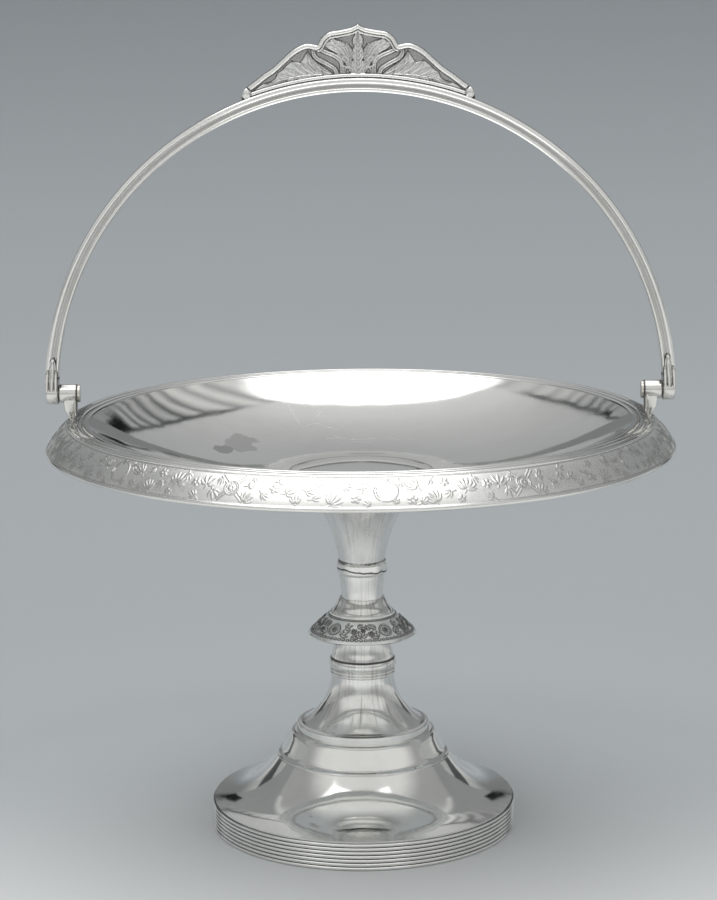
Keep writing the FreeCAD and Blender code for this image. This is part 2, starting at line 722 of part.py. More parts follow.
PIECES = {
    "foot_band": foot_band,
    "foot_cone": foot_cone,
    "foot_step_ring": foot_step_ring,
    "lower_trumpet": lower_trumpet,
    "trumpet_collar": trumpet_collar,
    "stem_ferrule": stem_ferrule,
    "knop_flange": knop_flange,
    "knop_cap": knop_cap,
    "neck_tube": neck_tube,
    "neck_ring": neck_ring,
    "dish_support": dish_support,
    "dish": dish,
    "rim_moulding": rim_moulding,
    "rim_band": rim_band,
    "rim_lower_bead": rim_lower_bead,
    "handle_bow": handle_bow,
    "handle_crest": handle_crest,
}

PAIRED_PIECES = {
    "hinge_lug": hinge_lug,
    "hinge_pin": hinge_pin,
    "handle_terminal": handle_terminal,
}


def write(name, shape):
    solid = one_solid(shape)
    box = solid.BoundBox
    print(f"{name:24s} solids {len(shape.Solids)} valid {solid.isValid()} volume {solid.Volume:9.1f} "
          f"z {box.ZMin:7.2f} to {box.ZMax:7.2f}")
    solid.exportStep(f"parts/{name}.step")


def main():
    os.makedirs("parts", exist_ok=True)
    for name, make in PIECES.items():
        write(name, make())
    for name, make in PAIRED_PIECES.items():
        shape = make()
        write(name + "_right", shape)
        write(name + "_left", mirrored(shape))


main()
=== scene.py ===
# %% [markdown]
# # Footed cake basket in silver plate
# The object is a spun dish on a trumpet foot, with a swing handle of drawn wire and a cast crest.
# The construction model gives every piece its place and size. This lesson dresses it: turned pieces keep
# their exact shape and get a finish, and the pieces with rolled or cast ornament are modelled again in relief.

# %% Frame
import bpy
import bmesh
import math
import numpy as np
from mathutils import Matrix


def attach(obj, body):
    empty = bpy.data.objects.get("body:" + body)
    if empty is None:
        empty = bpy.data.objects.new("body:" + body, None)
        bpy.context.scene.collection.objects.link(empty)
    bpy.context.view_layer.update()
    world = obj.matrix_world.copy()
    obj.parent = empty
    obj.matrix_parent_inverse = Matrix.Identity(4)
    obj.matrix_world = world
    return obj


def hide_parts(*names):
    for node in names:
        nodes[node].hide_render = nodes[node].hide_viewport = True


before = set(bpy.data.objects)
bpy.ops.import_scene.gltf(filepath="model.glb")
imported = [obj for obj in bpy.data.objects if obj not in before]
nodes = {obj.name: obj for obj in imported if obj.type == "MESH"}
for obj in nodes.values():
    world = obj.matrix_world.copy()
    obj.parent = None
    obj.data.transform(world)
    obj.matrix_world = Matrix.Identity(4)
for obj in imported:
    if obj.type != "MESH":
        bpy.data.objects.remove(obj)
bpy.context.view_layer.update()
scene = bpy.context.scene
MM = 0.001

# %% [markdown]
# ## Small helpers
# Colours are written as the hex values that a picture editor shows, so one function turns them into the
# linear numbers that Blender computes with. One function adds a shader node with its settings and links. A
# node that is given as an input stands for its first open output, which keeps long chains short.

# %% Colours and nodes
def linear(hex_colour):
    parts = [int(hex_colour[i:i + 2], 16) / 255 for i in (1, 3, 5)]
    return tuple(p / 12.92 if p <= 0.04045 else ((p + 0.055) / 1.055) ** 2.4 for p in parts) + (1.0,)


def output_of(value):
    return next(s for s in value.outputs if s.enabled) if isinstance(value, bpy.types.Node) else value


def add_node(tree, kind, inputs=None, **settings):
    # kind is the node's type without the word ShaderNode in front
    node = tree.nodes.new("ShaderNode" + kind)
    for key, value in settings.items():
        setattr(node, key, value)
    for key, value in (inputs or {}).items():
        value = output_of(value)
        if isinstance(value, bpy.types.NodeSocket):
            tree.links.new(value, node.inputs[key])
        else:
            node.inputs[key].default_value = value
    return node


def all_of(tree, *masks):
    # 1 only where every mask is 1
    whole = masks[0]
    for mask in masks[1:]:
        whole = add_node(tree, "Math", {0: whole, 1: mask}, operation="MULTIPLY")
    return whole


def set_stops(ramp, tones):
    # puts the stops of a colour ramp in place; the first two are there from the start
    stops = ramp.color_ramp.elements
    for index, (share, tone) in enumerate(tones):
        stop = stops[index] if index < 2 else stops.new(share)
        stop.position = share
        stop.color = linear(tone)


print("mid grey #808080 is", round(linear("#808080")[0], 4), "in linear light")

# %% [markdown]
# ## Camera
# A pinhole camera was fitted to the ellipses of the foot, the stem and the rim: it stands 1.1 m in front of
# the stem's axis, looks down by 11.2 degrees and leans by less than half a degree.

# %% Camera
camera_distance = 1.093
camera_height = 0.3763
camera_pitch = 0.195
camera_yaw = 0.00093
camera_roll = math.radians(-0.45)
camera_lens = 107.5
sensor_width = 36.0
camera_data = bpy.data.cameras.new("camera")
camera_data.sensor_width = sensor_width
camera_data.lens = camera_lens
camera = bpy.data.objects.new("camera", camera_data)
turn = Matrix.Rotation(camera_yaw, 4, "Z") @ Matrix.Rotation(math.pi / 2 - camera_pitch, 4, "X")
camera.matrix_world = (Matrix.Translation((0, -camera_distance, camera_height)) @ turn
                       @ Matrix.Rotation(camera_roll, 4, "Z"))
scene.collection.objects.link(camera)
scene.camera = camera
scene.view_settings.view_transform = "Standard"
print("camera at", tuple(round(c, 3) for c in camera.matrix_world.translation))

# %% [markdown]
# ## Floor and backdrop
# Silver shows whatever stands round it, so the studio matters as much as the metal. The basket stands on a
# round sweep of pale paper: a flat floor that curves up into a wall on every side. A spun outline makes it in
# one piece. The paper's colour falls from light grey round the foot to a blue grey on the wall; this fall is painted
# light, lighter round the foot against the basket's own shadow and darker outwards and up the wall where the light
# falls off. In front of the basket, out of the picture, the paper is painted nearly white, a painted pool of light,
# so that the faces turned to the camera shine. The sides are pale as well, and a dark gap between two lengths on
# either side behind outlines the stem.

# %% Sweep of paper
sweep_floor_radius = 1.45
sweep_floor_rings = (0.0, 0.3, 0.8, sweep_floor_radius)
sweep_wall_radius = 2.45
sweep_height = 0.75
sweep_steps = 24
sweep_turn_steps = 96
curve_rise = 0.45
merge_gap = 1e-6


def outward(shape):
    # turns every face of a closed shape outwards
    bmesh.ops.recalc_face_normals(shape, faces=shape.faces[:])
    return shape


def merged(shape):
    bmesh.ops.remove_doubles(shape, verts=shape.verts[:], dist=merge_gap)
    return outward(shape)


def spun(points, steps, axis=(0, 0, 1), centre=(0, 0, 0)):
    # an outline turned once round an axis, with its seam and its poles merged
    shape = bmesh.new()
    verts = [shape.verts.new(p) for p in points]
    edges = [shape.edges.new(pair) for pair in zip(verts, verts[1:])]
    bmesh.ops.spin(shape, geom=verts + edges, cent=centre, axis=axis, angle=2 * math.pi, steps=steps,
                   use_merge=True)
    return merged(shape)


def as_object(name, shape, smooth_angle):
    # smooth_angle is in degrees; sharper edges stay sharp
    mesh = bpy.data.meshes.new(name)
    shape.to_mesh(mesh)
    shape.free()
    mesh.set_sharp_from_angle(angle=math.radians(smooth_angle))
    made = bpy.data.objects.new(name, mesh)
    scene.collection.objects.link(made)
    return made


sweep_outline = [(radius, 0, 0) for radius in sweep_floor_rings]
for step in range(1, sweep_steps + 1):
    bend = step / sweep_steps * math.pi / 2
    radius = sweep_floor_radius + (sweep_wall_radius - sweep_floor_radius) * math.sin(bend)
    sweep_outline.append((radius, 0, curve_rise * (1 - math.cos(bend))))
sweep_outline.append((sweep_wall_radius, 0, sweep_height))
sweep = as_object("sweep", spun(sweep_outline, sweep_turn_steps), 60)
print("sweep faces:", len(sweep.data.polygons))

# %% Paper
# The floor's tones run outwards: their places are shares of the wall's radius. They are painted light: lighter round
# the foot against the basket's shadow, darker further out where the light falls off.
floor_tones_painted_light = [(0.0, "#D4D8DA"), (0.04, "#CACFD2"), (0.08, "#B5BABD"), (0.16, "#AEB3B6"), (0.27, "#ACB1B5"),
               (0.43, "#AAAFB3"), (0.67, "#A4A9AD"), (1.0, "#9EA3A7")]
gap_tone = "#606264"
paper_roughness = 0.9
paper_gloss = 0.15


def axis_distance(tree, place, keep, shift=(0, 0, 0)):
    # the distance from an axis; keep holds a 1 for each direction that counts
    moved = add_node(tree, "VectorMath", {0: place, 1: shift}, operation="ADD")
    kept = add_node(tree, "VectorMath", {0: moved, 1: keep}, operation="MULTIPLY")
    return add_node(tree, "VectorMath", {0: kept}, operation="LENGTH")


paper = bpy.data.materials.new("studio_paper")
paper.use_nodes = True
tree = paper.node_tree
place = add_node(tree, "TexCoord").outputs["Object"]
out = add_node(tree, "Math", {0: axis_distance(tree, place, (1, 1, 0)), 1: sweep_wall_radius}, operation="DIVIDE")
tone = add_node(tree, "ValToRGB", {"Fac": out})
set_stops(tone, floor_tones_painted_light)
parts = add_node(tree, "SeparateXYZ", {"Vector": place})
level, back = parts.outputs["Z"], parts.outputs["Y"]
aside = add_node(tree, "Math", {0: parts.outputs["X"]}, operation="ABSOLUTE")
# each wash: its measure, where it starts and where it is full in metres, the curve between, and its tone; the first
# is painted shade, darker up the wall, and the third a painted pool of light on the floor in front
light_and_tone_washes = [(level, 0.02, 0.5, "LINEAR", "#8E9499"), (level, 0.31, 0.35, "SMOOTHSTEP", "#9A9C9C"),
          (back, 0.07, -0.24, "SMOOTHSTEP", "#F1F2F1"), (aside, 0.75, 1.25, "SMOOTHSTEP", "#D6D7D6")]
for measure, start, full, curve, wash_tone in light_and_tone_washes:
    share = add_node(tree, "MapRange", {"Value": measure, "From Min": start, "From Max": full},
                     interpolation_type=curve)
    tone = add_node(tree, "Mix", {"Factor": share, "A": tone, "B": linear(wash_tone)}, data_type="RGBA")
# the dark gap on either side starts, ends and lies behind the basket at these places
gap_limits = [(aside, 1.28, 1.36), (aside, 1.78, 1.7), (back, 1.0, 1.3)]
gap = all_of(tree, *[add_node(tree, "MapRange", {"Value": measure, "From Min": start, "From Max": full},
                              interpolation_type="SMOOTHSTEP") for measure, start, full in gap_limits])
tone = add_node(tree, "Mix", {"Factor": gap, "A": tone, "B": linear(gap_tone)}, data_type="RGBA")
surface = tree.nodes["Principled BSDF"]
tree.links.new(output_of(tone), surface.inputs["Base Color"])
surface.inputs["Roughness"].default_value = paper_roughness
surface.inputs["Specular IOR Level"].default_value = paper_gloss
sweep.data.materials.append(paper)
print("paper tones:", len(floor_tones_painted_light), "washes:", len(light_and_tone_washes))

# %% [markdown]
# ## Studio light
# A wide soft box hangs over the table and a little behind it, and gives the metal its pure white. Grey
# cloth hangs behind the paper in folds, with dark gaps beside it, and paler walls stand behind the camera. The
# world shader draws them by direction, so they light the basket and show in it from all round.

# %% Directions
# Most masks are soft-edged bands of one ratio of the direction's parts: x over z (across) or y over z (depth).
lowest_z = 0.001
world = bpy.data.worlds.new("studio")
world.use_nodes = True
scene.world = world
sky = world.node_tree
sky.nodes.clear()
look = add_node(sky, "TexCoord").outputs["Generated"]
aim = add_node(sky, "SeparateXYZ", {"Vector": look})


def band(value, low, high, soft):
    # 1 between low and high, 0 outside, with soft edges
    rise = add_node(sky, "MapRange", {"Value": value, "From Min": low - soft, "From Max": low + soft},
                    interpolation_type="SMOOTHSTEP")
    fall = add_node(sky, "MapRange", {"Value": value, "From Min": high - soft, "From Max": high + soft,
                                      "To Min": 1.0, "To Max": 0.0}, interpolation_type="SMOOTHSTEP")
    return all_of(sky, rise, fall)


rising = add_node(sky, "Math", {0: aim.outputs["Z"], 1: lowest_z}, operation="MAXIMUM")
across = add_node(sky, "Math", {0: aim.outputs["X"], 1: rising}, operation="DIVIDE")
depth = add_node(sky, "Math", {0: aim.outputs["Y"], 1: rising}, operation="DIVIDE")
side = add_node(sky, "Math", {0: across}, operation="ABSOLUTE")
on_left = add_node(sky, "Math", {0: across, 1: 0.0}, operation="LESS_THAN")
print("nodes that find the direction:", len(sky.nodes))

# %% Box overhead
# The box's left edge leans out behind the basket, and its right edge leans all along.
box_strength = 2.05
box_left, box_left_lean, box_left_soft = -0.635, -0.5, 0.07
box_right, box_right_lean, box_right_soft = 0.37, 0.22, 0.065
box_front, box_back, box_end_soft = -0.62, 0.745, 0.025
beyond = 9.0
behind = add_node(sky, "Math", {0: depth, 1: 0.0}, operation="MAXIMUM")
from_left = add_node(sky, "Math", {0: behind, 1: box_left_lean, 2: across}, operation="MULTIPLY_ADD")
from_right = add_node(sky, "Math", {0: depth, 1: box_right_lean, 2: across}, operation="MULTIPLY_ADD")
box_mask = all_of(sky, band(from_left, box_left, beyond, box_left_soft),
                  band(from_right, -beyond, box_right, box_right_soft),
                  band(depth, box_front, box_back, box_end_soft))
print("box overhead reaches", box_left, "to", box_right, "across")

# %% Room
# The walls grow paler with height. The last two pairs say where a mask starts and where it is full.
room_tones = [(0.0, "#9C9E9F"), (0.21, "#A5A6A7"), (0.375, "#AAABAC"), (0.53, "#B4B5B5"), (0.6, "#BABBBB"),
              (0.67, "#C3C4C4"), (0.73, "#CFD0CF"), (0.8, "#DADADA")]
side_wall_start, side_wall_full = 0.34, 0.6
front_wall_start, front_wall_full = 0.0, -0.45
above = add_node(sky, "Math", {0: aim.outputs["Z"], 1: 0.0}, operation="MAXIMUM")
room = add_node(sky, "ValToRGB", {"Fac": above})
set_stops(room, room_tones)
sideways = add_node(sky, "Math", {0: aim.outputs["X"]}, operation="ABSOLUTE")
side_wall = add_node(sky, "MapRange", {"Value": sideways, "From Min": side_wall_start, "From Max": side_wall_full},
                     interpolation_type="SMOOTHSTEP")
front_wall = add_node(sky, "MapRange", {"Value": aim.outputs["Y"], "From Min": front_wall_start,
                                        "From Max": front_wall_full}, interpolation_type="SMOOTHSTEP")
print("room tones:", len(room_tones))

# %% Edge of the plain sheet
# A plain sheet hangs in the middle. Its edge runs outwards as it comes down, a little further on the left.
edge_bend, edge_start, edge_left_shift = -0.23, 0.48, 0.05
edge_power, edge_least_depth = -1.2, 0.3
deep_enough = add_node(sky, "Math", {0: depth, 1: edge_least_depth}, operation="MAXIMUM")
edge_fall = add_node(sky, "Math", {0: deep_enough, 1: edge_power}, operation="POWER")
bend = add_node(sky, "Math", {0: on_left, 1: edge_left_shift, 2: edge_bend}, operation="MULTIPLY_ADD")
start = add_node(sky, "Math", {0: on_left, 1: edge_left_shift, 2: edge_start}, operation="MULTIPLY_ADD")
sheet_edge = add_node(sky, "Math", {0: edge_fall, 1: bend, 2: start}, operation="MULTIPLY_ADD")
past_edge = add_node(sky, "Math", {0: side, 1: sheet_edge}, operation="SUBTRACT")
print("edge of the sheet starts", edge_start, "across")

# %% Folds of cloth
# Beyond the edge hang folds, which the dish shows as a fan of stripes. They follow the logarithm of the depth,
# hang lower further out, and a noise keeps them from being even.
fold_pitch, fold_start = 0.205, 0.571
fold_hang_start, fold_hang_size = 0.36, 17.0
fold_drift, drift_scale = 0.9, 3.1
fold_softness = 0.62
fold_calm_share = 0.6
drift = add_node(sky, "TexNoise", {"Vector": look, "Scale": drift_scale, "Detail": 2.0})
outer = add_node(sky, "Math", {0: side, 1: fold_hang_start}, operation="SUBTRACT")
outer = add_node(sky, "Math", {0: outer, 1: 0.0}, operation="MAXIMUM")
fold_hang = add_node(sky, "Math", {0: outer, 1: 2.0}, operation="POWER")
deep = add_node(sky, "Math", {0: depth, 1: 0.01}, operation="MAXIMUM")
deep = add_node(sky, "Math", {0: deep, 1: math.e}, operation="LOGARITHM")
fold_run = add_node(sky, "Math", {0: fold_hang, 1: fold_hang_size, 2: deep}, operation="MULTIPLY_ADD")
phase = add_node(sky, "Math", {0: drift, 1: fold_drift, 2: -fold_drift / 2 - fold_start / fold_pitch},
                 operation="MULTIPLY_ADD")
phase = add_node(sky, "Math", {0: fold_run, 1: 1 / fold_pitch, 2: phase}, operation="MULTIPLY_ADD")
phase = add_node(sky, "Math", {0: phase, 1: math.pi}, operation="MULTIPLY")
wave = add_node(sky, "Math", {0: phase}, operation="SINE")
fold_share = add_node(sky, "Math", {0: all_of(sky, wave, wave), 1: fold_softness}, operation="POWER")
fold_dark = add_node(sky, "Mix", {"Factor": band(depth, 0.3, 1.1, 0.25), "A": linear("#5A5C5D"),
                                  "B": linear("#A2A3A3")}, data_type="RGBA")
fold_light = add_node(sky, "Mix", {"Factor": band(depth, 0.3, 1.25, 0.4), "A": linear("#A6A7A7"),
                                   "B": linear("#D8D8D6")}, data_type="RGBA")
fold_tone = add_node(sky, "Mix", {"Factor": fold_share, "A": fold_dark, "B": fold_light}, data_type="RGBA")
fold_calm = all_of(sky, on_left, band(depth, 0.0, 1.5, 0.3), fold_calm_share)
fold_tone = add_node(sky, "Mix", {"Factor": fold_calm, "A": fold_tone, "B": linear("#BFC0BE")}, data_type="RGBA")
fold_mask = all_of(sky, band(past_edge, 0.0, 0.9, 0.006), band(depth, 0.62, 3.0, 0.08))
print("folds repeat every", fold_pitch, "in the logarithm of the depth")

# %% Screens, gaps and the whole room
# Grey screens stand beyond the folds. The sheet's edge is a dark line, and black gaps open beside the folds
# and low on both sides, where the foot shows them.
screen_start, screen_left_shift = 0.495, 0.015
screen_edge = add_node(sky, "Math", {0: on_left, 1: screen_left_shift, 2: screen_start}, operation="MULTIPLY_ADD")
past_screen = add_node(sky, "Math", {0: side, 1: screen_edge}, operation="SUBTRACT")
screen_mask = all_of(sky, band(past_screen, 0.0, 30.0, 0.015), band(depth, 0.75, 60.0, 0.1))
screen_tone = add_node(sky, "Mix", {"Factor": band(side, 0.85, 60.0, 0.3), "A": linear("#8B8D8E"),
                                    "B": linear("#8A8C8D")}, data_type="RGBA")
edge_line = all_of(sky, band(past_edge, -0.008, 0.01, 0.006), band(depth, 0.95, 9.0, 0.15))
fold_gap = all_of(sky, band(past_edge, 0.0, 0.9, 0.006), band(side, 0.2, 0.495, 0.006),
                  band(fold_run, 1.2, 1.75, 0.04))
foot_gap = all_of(sky, band(side, 0.6, 0.9, 0.03), band(depth, 2.25, 4.2, 0.05))
box_light = (box_strength, box_strength, box_strength, 1.0)
light = room
for mask, tone in [(side_wall, linear("#9FA0A0")), (front_wall, linear("#DCDCDA")), (fold_mask, fold_tone),
                   (screen_mask, screen_tone), (edge_line, linear("#4A4C4D")), (fold_gap, linear("#131414")),
                   (foot_gap, linear("#131414")), (box_mask, box_light)]:
    light = add_node(sky, "Mix", {"Factor": mask, "A": light, "B": tone}, data_type="RGBA")
shine = add_node(sky, "Background", {"Color": light, "Strength": 1.0})
add_node(sky, "OutputWorld", {"Surface": shine})
print("nodes in the world:", len(sky.nodes))

# %% [markdown]
# ## Silver plate
# Electroplated silver is a thin, soft, very reflective skin on a grey base metal. A century of rubbing leaves
# fine wipe marks and faint waves in the sheet, and tarnish stays as a thin haze and in the hollows. One
# builder makes every finish from these parts: the clean metal, the haze from a soft noise, the darker
# hollows from a mask, and roughness and bump from fine marks.

# %% Silver builder
clean_silver = "#F1F1EF"
hazed_silver = "#D6D4D0"
haze_low, haze_high = 0.42, 0.78
haze_dulls = 0.16
mark_low, mark_high = 0.3, 0.75
least_rough, most_rough = 0.75, 1.3


def silver(name, roughness, haze=0.35, haze_size=22 * MM, wave=0.0, wave_size=24 * MM, marks=0.0,
           mark_stretch=(1, 1, 1), mark_size=1.2 * MM, hollow="#4A4742", tint=clean_silver):
    # wave and marks are the heights of the bumps in mm; returns what a finish needs for its own masks
    made = bpy.data.materials.new(name)
    made.use_nodes = True
    tree = made.node_tree
    surface = tree.nodes["Principled BSDF"]
    surface.inputs["Metallic"].default_value = 1.0
    place = add_node(tree, "TexCoord").outputs["Object"]
    cloud = add_node(tree, "TexNoise", {"Vector": place, "Scale": 1 / haze_size, "Detail": 5.0, "Roughness": 0.6})
    cloud = add_node(tree, "MapRange", {"Value": cloud, "From Min": haze_low, "From Max": haze_high,
                                        "To Max": haze})
    body = add_node(tree, "Mix", {"Factor": cloud, "A": linear(tint), "B": linear(hazed_silver)},
                    data_type="RGBA")
    dark = add_node(tree, "Mix", {"Factor": 0.0, "A": body, "B": linear(hollow)}, data_type="RGBA")
    tree.links.new(output_of(dark), surface.inputs["Base Color"])
    stretched = add_node(tree, "VectorMath", {0: place, 1: mark_stretch}, operation="MULTIPLY")
    fine = add_node(tree, "TexNoise", {"Vector": stretched, "Scale": 1 / mark_size, "Detail": 3.0,
                                       "Roughness": 0.65})
    gloss = add_node(tree, "MapRange", {"Value": fine, "From Min": mark_low, "From Max": mark_high,
                                        "To Min": roughness * least_rough, "To Max": roughness * most_rough})
    gloss = add_node(tree, "Math", {0: cloud, 1: haze_dulls, 2: gloss}, operation="MULTIPLY_ADD")
    tree.links.new(output_of(gloss), surface.inputs["Roughness"])
    broad = add_node(tree, "TexNoise", {"Vector": place, "Scale": 1 / wave_size, "Detail": 1.0})
    bump = add_node(tree, "Bump", {"Height": broad, "Strength": 1.0, "Distance": wave * MM})
    bump = add_node(tree, "Bump", {"Height": fine, "Strength": 1.0, "Distance": marks * MM, "Normal": bump})
    tree.links.new(output_of(bump), surface.inputs["Normal"])
    return {"material": made, "tree": tree, "place": place, "dark": dark.inputs["Factor"]}


def darken(finish, mask):
    # sends a mask from 0 to 1 to the share of hollow colour
    finish["tree"].links.new(output_of(mask), finish["dark"])


mirror_plate = silver("mirror_plate", 0.045, haze=0.3, haze_size=30 * MM, wave=0.10, marks=0.004,
                      mark_stretch=(1, 0.25, 1), mark_size=0.9 * MM)
polished_plate = silver("polished_plate", 0.065, haze=0.4, haze_size=18 * MM, wave=0.12, wave_size=16 * MM,
                        marks=0.006, mark_stretch=(0.3, 1, 1))
satin_plate = silver("satin_plate", 0.2, haze=0.75, haze_size=9 * MM, wave=0.16, wave_size=9 * MM, marks=0.02,
                     mark_stretch=(1, 1, 0.12), mark_size=0.8 * MM)
turned_plate = silver("turned_plate", 0.11, haze=0.6, haze_size=7 * MM, wave=0.12, wave_size=11 * MM, marks=0.006,
                      mark_stretch=(1, 1, 0.08), mark_size=0.9 * MM, hollow="#4A4846")
print("plain finishes:", mirror_plate["material"].name, polished_plate["material"].name)

# %% [markdown]
# ## Streaks up the stem
# The stem was polished by hand, up and down, so its haze lies in narrow upright streaks. They are read from a
# noise of the direction from the axis, which hardly changes with height. The open joint between the collar
# and the drum above it has gone black all round.

# %% Streaks and joint
streak_count = 13.0
streak_rise = 4.0
streak_foot = 46.0 * MM
streak_fade = 3 * MM
joint_height = 72.2 * MM
joint_outer, joint_inner = 0.6 * MM, 0.25 * MM


def streak_mask(finish, low, high, strength):
    tree = finish["tree"]
    turned = add_node(tree, "VectorMath", {0: finish["place"], 1: (1, 1, 0)}, operation="MULTIPLY")
    way = add_node(tree, "VectorMath", {0: turned}, operation="NORMALIZE")
    lifted = add_node(tree, "VectorMath", {0: finish["place"], 1: (0, 0, streak_rise), 2: way},
                      operation="MULTIPLY_ADD")
    lines = add_node(tree, "TexNoise", {"Vector": lifted, "Scale": streak_count, "Detail": 3.0, "Roughness": 0.7})
    dark = add_node(tree, "MapRange", {"Value": lines, "From Min": low, "From Max": high, "To Max": strength})
    level = add_node(tree, "SeparateXYZ", {"Vector": finish["place"]}).outputs["Z"]
    above = add_node(tree, "MapRange", {"Value": level, "From Min": streak_foot,
                                        "From Max": streak_foot + streak_fade})
    return all_of(tree, dark, above)


def line_mask(tree, value, middle, outer, inner, strength):
    # starts at outer and is full within inner of the value middle
    off = add_node(tree, "Math", {0: value, 1: -middle}, operation="ADD")
    off = add_node(tree, "Math", {0: off}, operation="ABSOLUTE")
    return add_node(tree, "MapRange", {"Value": off, "From Min": outer, "From Max": inner, "To Max": strength})


tree = turned_plate["tree"]
level = add_node(tree, "SeparateXYZ", {"Vector": turned_plate["place"]}).outputs["Z"]
joint = line_mask(tree, level, joint_height, joint_outer, joint_inner, 0.9)
darken(turned_plate, add_node(tree, "Math", {0: joint, 1: streak_mask(turned_plate, 0.5, 0.7, 0.47)},
                              operation="MAXIMUM"))
darken(satin_plate, streak_mask(satin_plate, 0.5, 0.75, 0.3))
print("streaks on:", turned_plate["material"].name, satin_plate["material"].name)

# %% [markdown]
# ## Stains and solder seams
# Acid from fruit has left a few dull grey stains in the dish, with ragged edges. Each is a stretched spot whose
# distance is disturbed by a noise. The neck was soldered by hand, so its seams wander and have gone dark.

# %% Stains
# middle in x and y, and half-sizes in x and y, in mm, then the strength of each stain
dish_stains = [(-51.5, 40.0, 7.5, 12.0, 0.3), (-58.5, 27.0, 4.5, 6.0, 0.5), (-78.0, -3.5, 4.0, 5.5, 0.35),
               (2.0, 34.5, 9.0, 1.6, 0.3)]
ragged_size = 7 * MM
ragged_reach = 1.4
stain_outer, stain_inner = 1.62, 1.48
# a dark ring at the foot of the dome in the dish's middle: tarnish in the crease, and painted shade
dome_foot_shade_radius = 29.6 * MM
dome_foot_shade_outer, dome_foot_shade_inner = 0.9 * MM, 0.3 * MM
tree, place = mirror_plate["tree"], mirror_plate["place"]
ragged = add_node(tree, "TexNoise", {"Vector": place, "Scale": 1 / ragged_size, "Detail": 3.0})
# marks gathers the painted shade round the dome and, below, the stains
marks = line_mask(tree, axis_distance(tree, place, (1, 1, 0)), dome_foot_shade_radius, dome_foot_shade_outer,
                  dome_foot_shade_inner, 0.6)
for x, y, half_x, half_y, strength in dish_stains:
    scaled = add_node(tree, "VectorMath", {0: place, 1: (1 / (half_x * MM), 1 / (half_y * MM), 0),
                                           2: (-x / half_x, -y / half_y, 0)}, operation="MULTIPLY_ADD")
    off = add_node(tree, "VectorMath", {0: scaled}, operation="LENGTH")
    torn = add_node(tree, "Math", {0: ragged, 1: ragged_reach, 2: off}, operation="MULTIPLY_ADD")
    spot = add_node(tree, "MapRange", {"Value": torn, "From Min": stain_outer, "From Max": stain_inner,
                                       "To Max": strength})
    marks = add_node(tree, "Math", {0: marks, 1: spot}, operation="MAXIMUM")
darken(mirror_plate, marks)
print("stains in the dish:", len(dish_stains))

# %% Seams
# height at the axis in mm, fall towards +X, and strength of the two seams of the neck ring
neck_seams = [(110.4, 0.07, 0.95), (114.2, -0.01, 0.75)]
seam_wander, wander_size = 2.6 * MM, 5 * MM
seam_outer, seam_inner = 0.55 * MM, 0.2 * MM
seam_plate = silver("seam_plate", 0.2, haze=0.8, haze_size=5 * MM, wave=0.2, wave_size=4 * MM, marks=0.02,
                    hollow="#3E3B38")
tree, place = seam_plate["tree"], seam_plate["place"]
waver = add_node(tree, "TexNoise", {"Vector": place, "Scale": 1 / wander_size, "Detail": 3.0})
seams = 0.0
for height_mm, fall, strength in neck_seams:
    along = add_node(tree, "VectorMath", {0: place, 1: (fall, 0.0, 1.0)}, operation="DOT_PRODUCT")
    level = add_node(tree, "Math", {0: waver, 1: -seam_wander, 2: along}, operation="MULTIPLY_ADD")
    seam = line_mask(tree, level, height_mm * MM - seam_wander / 2, seam_outer, seam_inner, strength)
    seams = add_node(tree, "Math", {0: seam, 1: seams}, operation="MAXIMUM")
darken(seam_plate, seams)
print("seams of the neck ring:", len(neck_seams))

# %% [markdown]
# ## Reeds and the bow's groove
# Polish never reaches the bottom of a groove, so tarnish stays there as a dark line. On the reeded foot band
# the reeds repeat with height, on the rim moulding with the distance from the axis, and on the bow the groove
# keeps one distance from the bow's centre. The masks are worked out from those distances.

# %% Reeded and drawn finishes
foot_reed_count, rim_reed_count = 7, 3
foot_reed_pitch = 11.4 / foot_reed_count * MM
foot_groove_share = 0.21
rim_reed_pitch = 9.3 / rim_reed_count * MM
rim_reed_start = 111.8 * MM
rim_groove_share = 0.1
rim_first_groove, rim_last_groove = 0.6, 2.6
groove_strength = 0.85
bow_centre_z = 183.65 * MM
bow_inner_radius = 124.4 * MM
bow_groove_radius = bow_inner_radius + 2.4 * MM
bow_groove_half = 0.75 * MM


def groove_mask(tree, distance, pitch, start, width):
    # dark where the distance is within a small width of start plus a whole number of pitches
    phase = add_node(tree, "Math", {0: distance, 1: -start}, operation="ADD")
    turns = add_node(tree, "Math", {0: phase, 1: pitch}, operation="DIVIDE")
    part = add_node(tree, "Math", {0: turns}, operation="FRACT")
    rest = add_node(tree, "Math", {0: 1.0, 1: part}, operation="SUBTRACT")
    least = add_node(tree, "Math", {0: part, 1: rest}, operation="MINIMUM")
    return add_node(tree, "MapRange", {"Value": least, "From Min": width, "From Max": 0.0,
                                       "To Max": groove_strength})


foot_reeds = silver("reeded_plate_foot", 0.1, haze=0.4, marks=0.005, hollow="#33312E")
tree = foot_reeds["tree"]
level = axis_distance(tree, foot_reeds["place"], (0, 0, 1))
darken(foot_reeds, groove_mask(tree, level, foot_reed_pitch, 0.0, foot_groove_share))
rim_reeds = silver("reeded_plate_rim", 0.12, haze=0.4, marks=0.005, hollow="#6A645A")
tree = rim_reeds["tree"]
reach = axis_distance(tree, rim_reeds["place"], (1, 1, 0))
inside = add_node(tree, "Math", {0: reach, 1: rim_reed_start + rim_first_groove * rim_reed_pitch},
                  operation="GREATER_THAN")
outside = add_node(tree, "Math", {0: reach, 1: rim_reed_start + rim_last_groove * rim_reed_pitch},
                   operation="LESS_THAN")
darken(rim_reeds, all_of(tree, groove_mask(tree, reach, rim_reed_pitch, rim_reed_start, rim_groove_share),
                         inside, outside))
wire_plate = silver("reeded_plate_wire", 0.14, haze=0.5, marks=0.005)
